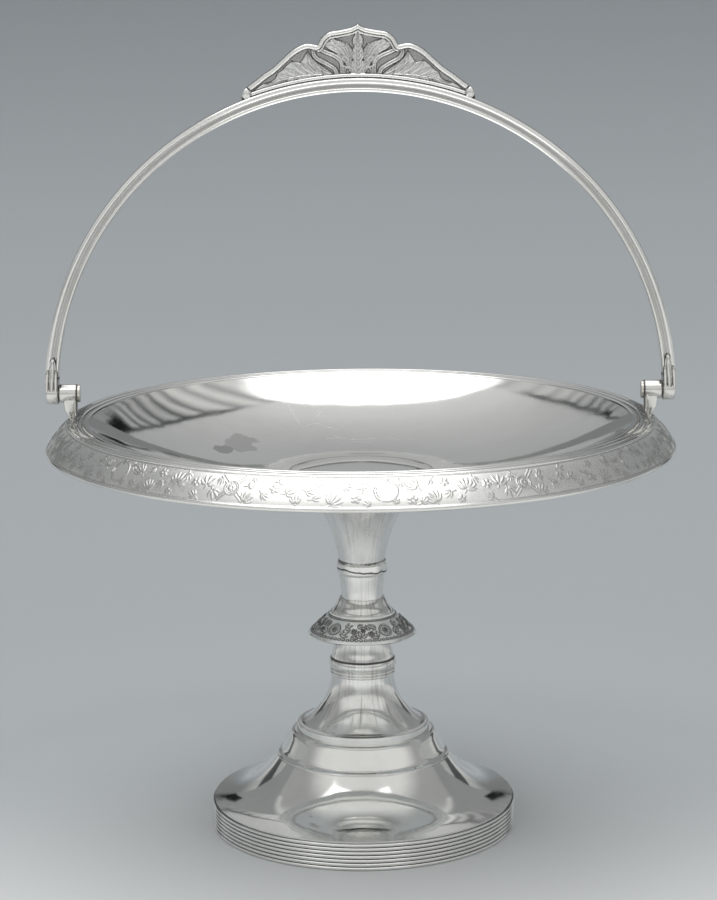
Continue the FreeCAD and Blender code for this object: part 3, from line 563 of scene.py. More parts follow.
bow_plate = silver("bow_plate", 0.13, haze=0.4, marks=0.006, hollow="#9A9795")
tree = bow_plate["tree"]
reach = axis_distance(tree, bow_plate["place"], (1, 0, 1), (0, 0, -bow_centre_z))
darken(bow_plate, line_mask(tree, reach, bow_groove_radius, bow_groove_half, 0.55 * bow_groove_half, 0.75))
rivet_brass = silver("rivet_brass", 0.22, haze=0.6, marks=0.01, tint="#E6E1D6")
print("grooves every", round(foot_reed_pitch / MM, 2), "mm on the foot band")

# %% Finishes of the turned pieces
plain_pieces = {
    "foot_band": foot_reeds, "foot_cone": polished_plate, "foot_step_ring": polished_plate,
    "lower_trumpet": turned_plate, "trumpet_collar": turned_plate, "stem_ferrule": turned_plate,
    "knop_flange": satin_plate, "knop_cap": turned_plate, "neck_tube": satin_plate, "neck_ring": seam_plate,
    "dish_support": satin_plate, "dish": mirror_plate, "rim_moulding": rim_reeds, "rim_band": wire_plate,
    "rim_lower_bead": wire_plate, "handle_bow": bow_plate, "handle_crest": bow_plate,
    "hinge_pin_left": rivet_brass, "hinge_pin_right": rivet_brass,
    "hinge_lug_left": wire_plate, "hinge_lug_right": wire_plate,
    "handle_terminal_left": wire_plate, "handle_terminal_right": wire_plate,
}
for name, finish in plain_pieces.items():
    nodes[name].data.materials.clear()
    nodes[name].data.materials.append(finish["material"])
print("finished construction pieces:", len(plain_pieces))

# %% [markdown]
# ## Ornament in relief
# Rolled and cast ornament is a height over a plain ground. It could be sculpted by hand, but here each leaf,
# scroll and flower is a stroke: a smooth path with a width that swells and tapers, raised to a half-round
# section. Strokes are laid on one another and the highest wins, as a die sinker cuts them. Each stroke also
# leaves a thin line round its foot, where tarnish stays, which the finish darkens; on the crest this line is
# also painted shade at the edge of the recessed ground.

# %% Paths
def shifted(point, x, y=0.0):
    return (point[0] + x, point[1] + y)


def toward(point, way, size):
    # a place at a distance in a direction; way is in radians
    return shifted(point, size * math.cos(way), size * math.sin(way))


def half_round(off, width):
    # the height of a half-round section, 1 in its middle and 0 from its width on
    return np.sqrt(np.clip(1 - (off / width) ** 2, 0, None))


def smooth_path(points, steps=10):
    # a curve through the points, as short straight runs
    ends = [points[0]] + list(points) + [points[-1]]
    path = []
    for a, b, c, d in zip(ends, ends[1:], ends[2:], ends[3:]):
        for step in range(steps):
            t = step / steps
            path.append(tuple(0.5 * (2 * q + (r - p) * t + (2 * p - 5 * q + 4 * r - s) * t ** 2
                                     + (3 * q - p - 3 * r + s) * t ** 3) for p, q, r, s in zip(a, b, c, d)))
    path.append(tuple(points[-1]))
    return path


def nearest_on_path(x, y, path):
    # distance of every point from the path, and the share of the path where it is nearest
    best = np.full(x.shape, 1e9)
    share = np.zeros(x.shape)
    runs = len(path) - 1
    for index, ((x0, y0), (x1, y1)) in enumerate(zip(path, path[1:])):
        dx, dy = x1 - x0, y1 - y0
        t = np.clip(((x - x0) * dx + (y - y0) * dy) / (dx * dx + dy * dy + 1e-12), 0, 1)
        off = np.hypot(x - x0 - t * dx, y - y0 - t * dy)
        nearer = off < best
        best = np.where(nearer, off, best)
        share = np.where(nearer, (index + t) / runs, share)
    return best, share


print("a three-point path has", len(smooth_path([(0, 0), (1, 1), (2, 0)])), "points")

# %% Strokes
least_width = 1e-4


class Drawing:
    # a patch of ground in mm: x and y of its points, their rise, and the tarnished line round each stroke, which on
    # the crest also stands for painted shade
    def __init__(self, x, y, line_width=0.2):
        self.x, self.y = x, y
        self.line_width = line_width
        self.rise = np.zeros(x.shape)
        self.line = np.zeros(x.shape)

    def lay(self, near, off, width, rise, over=False):
        # off is the distance from the stroke's middle and width its half-width there; over hides what lies under
        inside = off < width - 0.6 * self.line_width
        self.line[near] = np.where(inside, (0.0 if over else 0.25) * self.line[near], self.line[near])
        edge = np.exp(-((off - width) / self.line_width) ** 2)
        self.line[near] = np.maximum(self.line[near], edge)
        kept = np.where(off < width, 0, self.rise[near]) if over else self.rise[near]
        self.rise[near] = np.maximum(kept, rise)

    def near(self, xs, ys, reach):
        return ((self.x > min(xs) - reach) & (self.x < max(xs) + reach)
                & (self.y > min(ys) - reach) & (self.y < max(ys) + reach))

    def stroke(self, points, widths, height, vein=0.0, steps=8):
        # a half-round ridge; widths are half-widths from start to end; vein cuts a line down its middle
        near = self.near([p[0] for p in points], [p[1] for p in points], max(widths) + 3 * self.line_width)
        if not near.any():
            return
        off, share = nearest_on_path(self.x[near], self.y[near], smooth_path(points, steps))
        width = np.maximum(np.interp(share, np.linspace(0, 1, len(widths)), widths), least_width)
        cut = vein * np.exp(-(off / (0.24 * width)) ** 2)
        self.lay(near, off, width, height * half_round(off, width) * (1 - cut))
        if vein:
            self.line[near] = np.maximum(self.line[near], 0.55 * cut / vein * (off < width))

    def leaf(self, base, tip, width, height, lean=0.0, vein=0.5):
        # a pointed leaf from base to tip that bends to one side by lean
        bx, by = base
        tx, ty = tip
        middle = ((bx + tx) / 2 - (ty - by) * lean, (by + ty) / 2 + (tx - bx) * lean)
        shares = (0.25, 0.9, 1.0, 0.55, 0.05)
        self.stroke([base, middle, tip], [share * width for share in shares], height, vein)

    def hand(self, base, way, opening, blades, length, width, height, root=0.0, vein=0.5):
        # a palmate leaf: blades that open from one base like fingers; way and opening are in degrees
        for blade in range(blades):
            part = blade / (blades - 1) - 0.5
            out = math.radians(way + part * opening)
            size = length * (1 - 0.9 * part ** 2)
            self.leaf(toward(base, out, root * size), toward(base, out, size), width, height, 0.18 * part, vein)

    def dot(self, centre, radius, height):
        near = self.near([centre[0]], [centre[1]], radius + 3 * self.line_width)
        off = np.hypot(self.x[near] - centre[0], self.y[near] - centre[1])
        self.lay(near, off, radius, height * half_round(off, radius))

    def ring(self, centre, radius, half_width, height):
        near = self.near([centre[0]], [centre[1]], radius + half_width + 3 * self.line_width)
        off = np.abs(np.hypot(self.x[near] - centre[0], self.y[near] - centre[1]) - radius)
        self.lay(near, off, half_width, height * half_round(off, half_width))

    def flower(self, centre, size, height, petals=5, turn=0.0):
        # round petals about a ringed eye
        for petal in range(petals):
            way = turn + petal * 2 * math.pi / petals
            self.dot(toward(centre, way, 0.74 * size), 0.36 * size, 0.8 * height)
        self.dot(centre, 0.5 * size, 0.3 * height)
        self.ring(centre, 0.42 * size, 0.13 * size, height)

    def rib(self, off, half_width, height):
        # a half-round rib where the given distance is least; it hides what lies under it
        self.lay(np.ones(self.x.shape, bool), off, half_width, height * half_round(off, half_width), over=True)

    def mass(self, corners, height, soft=0.5):
        # a raised mass inside a closed outline, with a rounded edge
        loop = list(corners) + [corners[0]]
        off, _ = nearest_on_path(self.x, self.y, loop)
        inside = np.zeros(self.x.shape, bool)
        for (x0, y0), (x1, y1) in zip(loop, loop[1:]):
            if y0 != y1:
                crosses = ((y0 > self.y) != (y1 > self.y)) & (self.x < (x1 - x0) * (self.y - y0) / (y1 - y0) + x0)
                inside ^= crosses
        depth = np.where(inside, off, 0)
        rise = height * np.sqrt(1 - (1 - np.clip(depth / soft, 0, 1)) ** 2)
        self.line[:] = np.where(inside & (off > self.line_width), 0.2 * self.line, self.line)
        self.line[:] = np.maximum(self.line, np.exp(-(off / self.line_width) ** 2))
        self.rise[:] = np.maximum(self.rise, rise)


print("an unused patch rises", Drawing(np.zeros(1), np.zeros(1)).rise[0], "mm")

# %% [markdown]
# ## Sheets that carry relief
# A relief needs an even mesh under it. A flat grid is made by an operator, and its two directions are then
# sent to the round of the piece by moving its vertices. For a ring with a closed section, the
# grid's last row and column meet the first ones and are merged, so the ring is a closed shell.

# %% Sheets
def relief_sheet(around, across, place):
    # place takes the two shares of every vertex and gives its points in mm and its hollow values
    shape = bmesh.new()
    bmesh.ops.create_grid(shape, x_segments=around, y_segments=across, size=1.0)
    flat = np.array([v.co[:2] for v in shape.verts])
    points, hollow = place((flat[:, 0] + 1) / 2, (flat[:, 1] + 1) / 2)
    layer = shape.verts.layers.float.new("hollow")
    for vert, point, value in zip(shape.verts, points * MM, hollow):
        vert.co = point
        vert[layer] = value
    return shape


def verts_of(parts):
    return [part for part in parts if isinstance(part, bmesh.types.BMVert)]


def capped(shape):
    # closes the open ends of a tube
    bmesh.ops.holes_fill(shape, edges=[edge for edge in shape.edges if edge.is_boundary])
    return outward(shape)


def backed(sheet, axis, level):
    # closes a sheet with a back and walls; level gives a back vertex its coordinate on the axis
    back = bmesh.ops.extrude_face_region(sheet, geom=sheet.faces[:])["geom"]
    for vert in verts_of(back):
        vert.co[axis] = level(vert.co)
    return outward(sheet)


def mirrored_shell(shape):
    # a sheet and its mirror image in the plane y = 0, joined along their edges
    twin = bmesh.ops.duplicate(shape, geom=shape.verts[:] + shape.edges[:] + shape.faces[:])["geom"]
    for vert in verts_of(twin):
        vert.co.y = -vert.co.y
    bmesh.ops.bridge_loops(shape, edges=[edge for edge in shape.edges if edge.is_boundary])
    return outward(shape)


def joined(*shapes):
    # several closed shapes as the parts of one piece
    whole = bmesh.new()
    for shape in shapes:
        part = bpy.data.meshes.new("part")
        shape.to_mesh(part)
        shape.free()
        whole.from_mesh(part)
        bpy.data.meshes.remove(part)
    return whole


def flipped_to_left(shape):
    # the same piece for the -X side
    bmesh.ops.scale(shape, vec=(-1, 1, 1), verts=shape.verts[:])
    return outward(shape)


def add_piece(name, shape, body, slot, finish, *replaced, smooth_angle=50):
    made = as_object(name, shape, smooth_angle)
    made.data.materials.append(finish["material"])
    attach(made, body)
    if replaced:
        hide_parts(*replaced)
    print(name, "faces", len(made.data.polygons))


def read_hollow(finish):
    # the hollow value that the strokes left on each vertex
    held = add_node(finish["tree"], "Attribute", attribute_name="hollow").outputs["Fac"]
    darken(finish, held)
    return held


print("a grid of 2 by 2 has", len(relief_sheet(2, 2, lambda u, v: (np.stack([u, v, u], 1), u)).faces), "faces")

# %% [markdown]
# ## Rim band
# The strip below the rim was rolled between engraved dies: rosettes with crossed ribs, ringed flowers, crescents
# and leaves that open like hands, in low relief, seven times round. Only the outlines hold tarnish, so the drawing
# is grey on bright. One seventh of the pattern is drawn flat, 112 mm by 13 mm, and repeated. The strip is soldered
# together from a front and a back length, whose joints lie below the hinges.

# %% Rim band pattern
rim_top = (121.0, 174.0)
rim_foot = (129.45, 164.2)
rim_bulge = 0.7
rim_wall = 1.2
rim_repeat_count = 7
rim_relief = 0.17
rim_leaf_scale = 1.22
rim_line = 0.42
rim_cut = 0.9
rim_edge_fade = 0.03
band_rows = 50
band_back_rows = 4
band_columns = 1840
band_span = math.hypot(rim_foot[0] - rim_top[0], rim_foot[1] - rim_top[1])
band_repeat = 2 * math.pi / rim_repeat_count * (rim_top[0] + rim_foot[0]) / 2
rosette_azimuth = -22.5
# azimuth, share down and size in mm of each flower, from one rosette to the next
rim_flowers = [(-14.8, 0.46, 1.75), (-7.1, 0.22, 1.8), (-0.9, 0.72, 1.75), (8.5, 0.78, 1.8), (14.3, 0.25, 1.75),
               (21.9, 0.42, 1.8), (16.9, 0.83, 1.4), (5.8, 0.8, 1.2), (-18.6, 0.18, 1.1)]
# azimuth, share down, direction, opening, blades, length and half-width of each leaf; -90 points up the band
rim_leaves = [(-20.0, 0.95, -58, 85, 5, 4.2, 0.42), (-12.9, 0.6, -25, 95, 4, 3.2, 0.34),
              (-14.4, 0.22, -15, 70, 3, 3.0, 0.36), (-9.4, 0.5, 20, 60, 3, 2.8, 0.3),
              (-5.3, 0.93, -50, 105, 6, 4.8, 0.4), (0.3, 0.42, -100, 120, 5, 3.2, 0.36),
              (9.8, 0.42, -145, 70, 5, 5.2, 0.4), (12.7, 0.92, -115, 90, 6, 4.6, 0.42),
              (18.0, 0.56, -72, 140, 7, 4.4, 0.6), (24.1, 0.5, -80, 130, 5, 4.0, 0.58),
              (25.4, 0.6, 60, 90, 4, 3.8, 0.5), (-19.6, 0.42, -20, 80, 4, 2.6, 0.42),
              (4.4, 0.1, 160, 50, 3, 2.4, 0.3), (1.6, 0.93, -150, 70, 4, 2.6, 0.32),
              (-17.0, 0.62, 40, 70, 4, 2.8, 0.34), (-10.9, 0.92, -95, 80, 5, 3.4, 0.36),
              (-8.2, 0.75, -20, 60, 3, 2.8, 0.3), (-3.1, 0.3, 25, 80, 4, 3.0, 0.34),
              (-2.4, 0.08, 60, 60, 3, 2.4, 0.3), (6.6, 0.15, 60, 80, 4, 2.8, 0.32),
              (9.9, 0.9, -40, 70, 4, 2.8, 0.34), (15.4, 0.58, 150, 80, 4, 2.9, 0.36),
              (12.1, 0.12, 120, 60, 3, 2.6, 0.3), (19.6, 0.15, 70, 80, 4, 2.8, 0.36),
              (22.6, 0.88, -150, 80, 4, 2.8, 0.36), (26.8, 0.2, 110, 70, 4, 2.6, 0.36)]
crescent_place, crescent_size = (4.1, 0.47), 4.4
# size, start and end in degrees, and half-widths of the arcs of each crescent
crescent_arcs = [(crescent_size, -108, 108, (0.1, 0.34, 0.42, 0.34, 0.1)),
                 (crescent_size, 120, 240, (0.12, 0.14, 0.12)),
                 (0.8 * crescent_size, 130, 230, (0.1, 0.12, 0.1))]
rosette_rings = [(2.85, 0.24), (2.2, 0.14)]
spoke_start, spoke_length, spoke_half_gap = 2.9, 4.2, 0.55
stalk_length, stalk_bend = 1.6, 0.3


def on_band(azimuth, share):
    # a place in the flat drawing of one seventh: azimuth in degrees, 0 at the front, and share down the band
    return ((azimuth - rosette_azimuth) / 360 * rim_repeat_count * band_repeat, share * band_span)


def rim_pattern(x, y):
    drawing = Drawing(x, y)
    for turn in (0.0, band_repeat):
        rosette = (turn, 0.5 * band_span)
        for spoke in range(4):
            way = math.radians(45 + 90 * spoke)
            for side in (-spoke_half_gap, spoke_half_gap):
                start = shifted(rosette, -side * math.sin(way) + spoke_start * math.cos(way),
                                side * math.cos(way) + spoke_start * math.sin(way))
                drawing.stroke([start, toward(start, way, spoke_length)], (0.2, 0.2), rim_relief, steps=3)
        for size, width in rosette_rings:
            drawing.ring(rosette, size, width, rim_relief)
        drawing.flower(rosette, 1.5, rim_relief, petals=8)
    for azimuth, share, way, opening, blades, length, width in rim_leaves:
        base = on_band(azimuth, share)
        drawing.hand(base, way, opening, blades, rim_leaf_scale * length, width, rim_relief, root=0.16, vein=0.3)
        stalk = toward(base, math.radians(way + 180) + stalk_bend, stalk_length)
        drawing.stroke([base, stalk], (0.16, 0.1), rim_relief, steps=3)
    for azimuth, share, size in rim_flowers:
        drawing.flower(on_band(azimuth, share), size, rim_relief, turn=math.radians(azimuth * 7))
    centre = on_band(*crescent_place)
    for size, start, end, widths in crescent_arcs:
        ways = np.linspace(math.radians(start), math.radians(end), 9)
        drawing.stroke([toward(centre, way, size) for way in ways], widths, rim_relief)
    for edge in (0.3, band_span - 0.35):
        drawing.stroke([(-1, edge), (band_repeat + 1, edge)], (0.14, 0.14), 0.8 * rim_relief, steps=2)
    return drawing


def rim_band_sheet(start):
    # half of the band, from the azimuth start on, as a closed shell
    def place(u, v):
        rows = band_rows + band_back_rows
        front = v <= band_rows / rows
        azimuth = start + 180 * u
        angle = np.radians(azimuth)
        down = np.clip(v * rows / band_rows, 0, 1)
        slope = np.array([rim_foot[0] - rim_top[0], rim_foot[1] - rim_top[1]]) / band_span
        normal = np.array([-slope[1], slope[0]])
        turns = (azimuth - rosette_azimuth) / 360 * rim_repeat_count
        drawing = rim_pattern(turns % 1 * band_repeat, down * band_span)
        fade = np.clip(np.minimum(down, 1 - down) / rim_edge_fade, 0, 1)
        # the back rows run up again behind the front ones, a wall's thickness nearer the axis
        back = np.clip((v * rows - band_rows) / band_back_rows, 0, 1)
        along = np.where(front, down, 1 - np.clip((back - 0.25) / 0.5, 0, 1))
        lift = rim_bulge * 4 * along * (1 - along)
        lift = lift + np.where(front, fade * (drawing.rise - rim_cut * rim_relief), 0)
        radius = rim_top[0] + slope[0] * band_span * along + normal[0] * lift - np.where(front, 0, rim_wall)
        level = rim_top[1] + slope[1] * band_span * along + normal[1] * lift
        closed = back > 0.999
        radius = np.where(closed, rim_top[0], radius)
        level = np.where(closed, rim_top[1], level)
        points = np.stack([radius * np.sin(angle), -radius * np.cos(angle), level], axis=1)
        return points, np.where(front, rim_line * drawing.line * fade, 0.0)

    return capped(merged(relief_sheet(band_columns, band_rows + band_back_rows, place)))


ornament_plate = silver("ornament_plate", 0.29, haze=0.4, haze_size=14 * MM, marks=0.02, hollow="#6A6865")
read_hollow(ornament_plate)
add_piece("ornamented_rim_band_front", rim_band_sheet(-90), "stand", "ornament_plate", ornament_plate, "rim_band")
add_piece("ornamented_rim_band_back", rim_band_sheet(90), "stand", "ornament_plate", ornament_plate)

# %% [markdown]
# ## Knop flange
# The flange round the stem was rolled with the same kind of ornament and then oxidised: a dark skin was
# left in the hollows and rubbed off the tops. It is made as the rim band is, on a cone, with a wired edge.

# %% Knop flange
flange_section = [(12.9, 92.4), (13.6, 91.9), (13.6, 91.5), (16.29, 89.22), (19.56, 86.1), (22.0, 83.9),
                  (22.55, 83.68), (22.8, 83.1), (22.55, 82.52), (22.0, 82.3), (20.0, 82.3), (18.0, 84.6),
                  (14.6, 87.7), (11.7, 89.8), (11.6, 91.2), (7.0, 91.2), (7.0, 92.4), (12.9, 92.4)]
flange_columns = 720
flange_rows = 110
flange_relief = 0.34
flange_cut = 0.5
flange_margin, flange_fade = 0.15, 0.6
flange_cone_rows = (0.06, 0.8)
flange_line_width = 0.23
flange_ground_dark, flange_line_dark = 0.04, 0.96
flange_repeats = 5
flange_rosette_azimuth = -40
flange_top, flange_edge = (13.6, 91.5), (22.0, 83.9)
flange_span = math.hypot(flange_edge[0] - flange_top[0], flange_top[1] - flange_edge[1])
flange_middle_radius = 18.0
flange_repeat = 2 * math.pi * flange_middle_radius / flange_repeats
# place in mm from a rosette and down the cone, direction, opening, blades, length and half-width of each leaf
flange_leaves = [(4.0, 8.4, -35, 80, 3, 3.8, 0.6), (5.2, 4.6, -25, 90, 3, 3.2, 0.55),
                 (10.6, 3.4, 10, 60, 3, 2.8, 0.5), (12.4, 9.0, -95, 110, 4, 3.6, 0.55),
                 (14.4, 5.0, -60, 70, 3, 2.8, 0.5), (18.8, 8.8, -140, 80, 3, 3.8, 0.6),
                 (18.4, 3.6, 160, 70, 3, 3.0, 0.55), (8.4, 9.2, 0, 60, 3, 2.6, 0.5)]
flange_flowers = [(9.2, 6.2, 1.3), (16.2, 7.2, 1.2), (12.9, 5.6, 0.9)]
flange_rosette_down = 5.9
flange_top_line = 0.8
scallop_count = 14


def on_section(share):
    # points along the outline; most of the rows lie on the ornamented cone, from its third corner to its fifth
    corners = np.array(flange_section)
    runs = np.concatenate([[0], np.cumsum(np.hypot(*np.diff(corners, axis=0).T))])
    run = np.interp(share, (0, *flange_cone_rows, 1), (0, runs[2], runs[5], runs[-1]))
    return np.interp(run, runs, corners[:, 0]), np.interp(run, runs, corners[:, 1])


def flange_pattern(x, y):
    drawing = Drawing(x, y, flange_line_width)
    for turn in (0.0, flange_repeat):
        rosette = (turn, flange_rosette_down)
        drawing.ring(rosette, 2.5, 0.34, flange_relief)
        drawing.flower(rosette, 1.25, flange_relief, petals=6)
    for base_x, base_y, way, opening, blades, length, width in flange_leaves:
        drawing.hand((base_x, base_y), way, opening, blades, length, width, flange_relief)
    for x_mm, y_mm, size in flange_flowers:
        drawing.flower((x_mm, y_mm), size, flange_relief, turn=x_mm)
    for scallop in range(scallop_count):
        drawing.dot(((scallop + 0.5) * flange_repeat / scallop_count, flange_span - 1.0), 0.5, 0.7 * flange_relief)
    drawing.stroke([(-1, flange_top_line), (flange_repeat + 1, flange_top_line)], (0.3, 0.3),
                   0.8 * flange_relief, steps=2)
    return drawing


def place_knop_flange(u, v):
    angle = u * 2 * math.pi
    radius, level = on_section(v)
    run = ((radius - flange_top[0]) * (flange_edge[0] - flange_top[0])
           + (level - flange_top[1]) * (flange_edge[1] - flange_top[1])) / flange_span
    outside = ((v > flange_cone_rows[0]) & (v < flange_cone_rows[1])
               & (run > flange_margin) & (run < flange_span - flange_margin))
    turns = (u * 360 - flange_rosette_azimuth) / 360 * flange_repeats
    drawing = flange_pattern(turns % 1 * flange_repeat, np.clip(run, 0, flange_span))
    fade = np.where(outside, np.clip(np.minimum(run, flange_span - run) / flange_fade, 0, 1), 0)
    lift = fade * (drawing.rise - flange_cut * flange_relief)
    across, up = (flange_top[1] - flange_edge[1]) / flange_span, (flange_edge[0] - flange_top[0]) / flange_span
    points = np.stack([(radius + across * lift) * np.sin(angle), -(radius + across * lift) * np.cos(angle),
                       level + up * lift], axis=1)
    ground = np.clip(1 - drawing.rise / flange_relief * 1.3, 0, 1)
    dark = np.clip(flange_ground_dark * ground + flange_line_dark * drawing.line, 0, 1)
    hollow = np.where(outside, dark, 0.0)
    return points, hollow


oxidised_plate = silver("oxidised_plate", 0.17, haze=0.2, haze_size=5 * MM, marks=0.006, hollow="#1B1B1D",
                        tint="#FFFFFD")
read_hollow(oxidised_plate)
flange_sheet = relief_sheet(flange_columns, flange_rows, place_knop_flange)
add_piece("ornamented_knop_flange", merged(flange_sheet), "stand", "oxidised_plate", oxidised_plate, "knop_flange")

# %% [markdown]
# ## Bow
# The bow was drawn through a shaped plate: a broad half-round bead outside, a fine groove and a narrower bead
# inside, alike front and back. A drawn section is turned about the bow's centre, which is what spin does.

# %% Bow
bow_end_angle = 4.03
bow_width = 5.6
bow_half_depth = 3.5
outer_bead = 2.5
inner_bead = 1.75
inner_bead_drop = 0.25
groove_bottom = 2.35
bow_steps = 220


def bead_arc(low, high, root, crest, count):
    # a half-round bead between two radii, from its root depth to its crest and back
    middle, half = (low + high) / 2, (high - low) / 2
    return [(middle + half * math.cos(t), root + (crest - root) * math.sin(t))
            for t in np.linspace(0, math.pi, count)]


outer_radius = bow_inner_radius / MM + bow_width
front_half = (bead_arc(outer_radius - outer_bead, outer_radius, groove_bottom, bow_half_depth, 17)
              + bead_arc(outer_radius - bow_width, outer_radius - bow_width + inner_bead, groove_bottom,
                         bow_half_depth - inner_bead_drop, 13))
bow_outline = [(r, -d) for r, d in front_half] + [(r, d) for r, d in front_half[::-1]]
bow_shape = bmesh.new()
start_angle = math.radians(bow_end_angle)
corners = [bow_shape.verts.new((r * math.cos(start_angle) * MM, d * MM,
                                bow_centre_z + r * math.sin(start_angle) * MM)) for r, d in bow_outline]
bow_face = bow_shape.faces.new(corners)
bmesh.ops.spin(bow_shape, geom=[bow_face], cent=(0, 0, bow_centre_z), axis=(0, -1, 0),
               angle=math.pi - 2 * start_angle, steps=bow_steps)
add_piece("drawn_bow", merged(bow_shape), "handle", "bow_plate", bow_plate, "handle_bow", smooth_angle=60)

# %% [markdown]
# ## Crest
# The plaque on the bow is a casting: a pointed hood and two wings with a beaded border, scrolls, a lance of
# lapped leaves and acanthus on each side, over a grey recessed ground. Its front is a grid between the bow and the
# top outline. The back is the front's mirror image, and bridging their edges closes the shell.

# %% Crest outline
crest_half_length, crest_half_length_px = 47.5, 117
crest_height, crest_height_px = 21.5, 52.5
crest_px, crest_foot_py = 354, 76
crest_foot_z = 313.65
crest_seat_radius = 130.03
crest_columns = 440
crest_rows = 84
crest_ground = 0.75
hood_end = (0.345, 0.61)
hood_line = [(0.0, 1.0), (0.04, 0.95), (0.076, 0.919), (0.16, 0.882), (0.246, 0.849), (0.305, 0.756), hood_end]
wing_line = [hood_end, (0.423, 0.64), (0.482, 0.612), (0.56, 0.519), (0.644, 0.356), (0.73, 0.188),
             (0.815, 0.058), (0.9, -0.086), (0.95, -0.165), (0.98, -0.24), (0.993, -0.36)]


def crest_mm(points):
    return [(u * crest_half_length, v * crest_height) for u, v in points]


def photo_crest(points):
    # places noted on the photograph's left half, in pixels, as mm from the crest's foot centre
    return [((crest_px - px) / crest_half_length_px * crest_half_length,
             (crest_foot_py - py) / crest_height_px * crest_height) for px, py in points]


hood_path = smooth_path(crest_mm(hood_line), 12)
wing_path = smooth_path(crest_mm(wing_line), 12)
top_path = hood_path + wing_path[1:]
frond_mass = photo_crest([(348.4, 69.5), (348.6, 55.1), (347.2, 49.0), (345.0, 42.9), (340.5, 41.8), (336.0, 39.5),
                          (332.5, 40.2), (329.0, 37.7), (325.0, 40.3), (319.5, 43.8), (325.0, 48.5), (333.0, 52.5),
                          (339.4, 57.0), (343.0, 62.0), (346.0, 69.0)])
spray_mass = photo_crest([(331.0, 73.0), (322.0, 66.5), (314.0, 61.0), (308.5, 57.0), (304.2, 49.5), (301.5, 54.0),
                          (299.0, 58.0), (296.5, 61.0), (292.0, 60.2), (288.3, 59.4), (283.0, 63.5), (278.0, 68.5),
                          (273.6, 71.5), (272.0, 76.0), (268.0, 79.0), (258.0, 82.0), (250.0, 88.0), (262.0, 86.0),
                          (300.0, 77.5)])
lance_mass = photo_crest([(358.0, 29.0), (353.6, 29.5), (351.6, 33.0), (348.8, 38.0), (348.4, 42.0), (350.0, 46.0),
                          (348.0, 50.0), (347.8, 55.0), (349.2, 59.0), (347.2, 62.0), (346.6, 67.0), (346.4, 75.0),
                          (358.0, 75.0)])
inner_scroll = photo_crest([(313.4, 47.2), (323.2, 51.5), (330.2, 54.3), (335.8, 58.5), (337.9, 63.4), (338.2, 72.5)])
outer_scroll = photo_crest([(309.5, 46.7), (310.2, 52.9), (313.3, 57.1), (319.6, 60.6), (326.0, 64.1), (330.9, 67.6),
                            (333.0, 72.5)])
# base, middle, tip and half-width in mm of each blade
frond_blades = [((347.0, 66.0), (335.0, 51.0), (320.5, 44.2), 1.15),
                ((347.0, 63.0), (337.5, 47.5), (325.0, 41.2), 1.0),
                ((347.4, 60.0), (340.5, 45.5), (329.3, 38.6), 1.05),
                ((347.6, 57.0), (343.5, 46.5), (336.2, 40.4), 0.95),
                ((348.0, 55.0), (347.0, 48.5), (343.6, 43.6), 0.7),
                ((347.2, 69.0), (342.0, 60.0), (333.5, 52.9), 0.85),
                ((347.5, 71.5), (345.2, 66.0), (341.0, 59.5), 0.75)]
spray_blades = [((319.0, 71.8), (309.0, 63.0), (304.2, 50.8), 1.25),
                ((311.0, 72.0), (301.5, 66.0), (297.4, 61.4), 1.1),
                ((305.0, 73.5), (295.0, 67.0), (288.6, 60.4), 1.2),
                ((297.0, 75.0), (287.5, 70.5), (280.3, 67.0), 1.15),
                ((290.0, 77.0), (281.0, 75.0), (273.8, 72.4), 1.0),
                ((284.0, 79.0), (274.0, 80.2), (262.0, 82.0), 0.9),
                ((329.0, 73.0), (319.0, 67.6), (309.5, 58.5), 1.0),
                ((322.0, 73.5), (312.0, 69.5), (303.5, 62.0), 0.8)]
veins = [[(304.2, 50.5), (306.0, 57.0), (312.0, 64.0), (322.0, 70.5), (330.0, 73.0)],
         [(264.0, 81.5), (280.0, 77.5), (298.0, 74.0), (318.0, 72.8)]]
print("crest top line has", len(top_path), "points")

# %% Crest relief
mass_rise = 0.7
blade_rise = 1.0
wing_border_half, hood_border_half = 1.15, 1.0
fine_line_in, fine_line_half = 2.5, 0.5
rail_half = 0.95
knob_middle, knob_radius = (45.2, -6.3), 2.1
nowhere = 9.0
# darkness of the grey recessed ground, of the lines round the strokes (tarnish and painted shade at the edge of the
# recess), and of the leafy masses
ground_dark, edge_tarnish_and_shade_dark, leafy_dark = 0.6, 0.52, 0.04


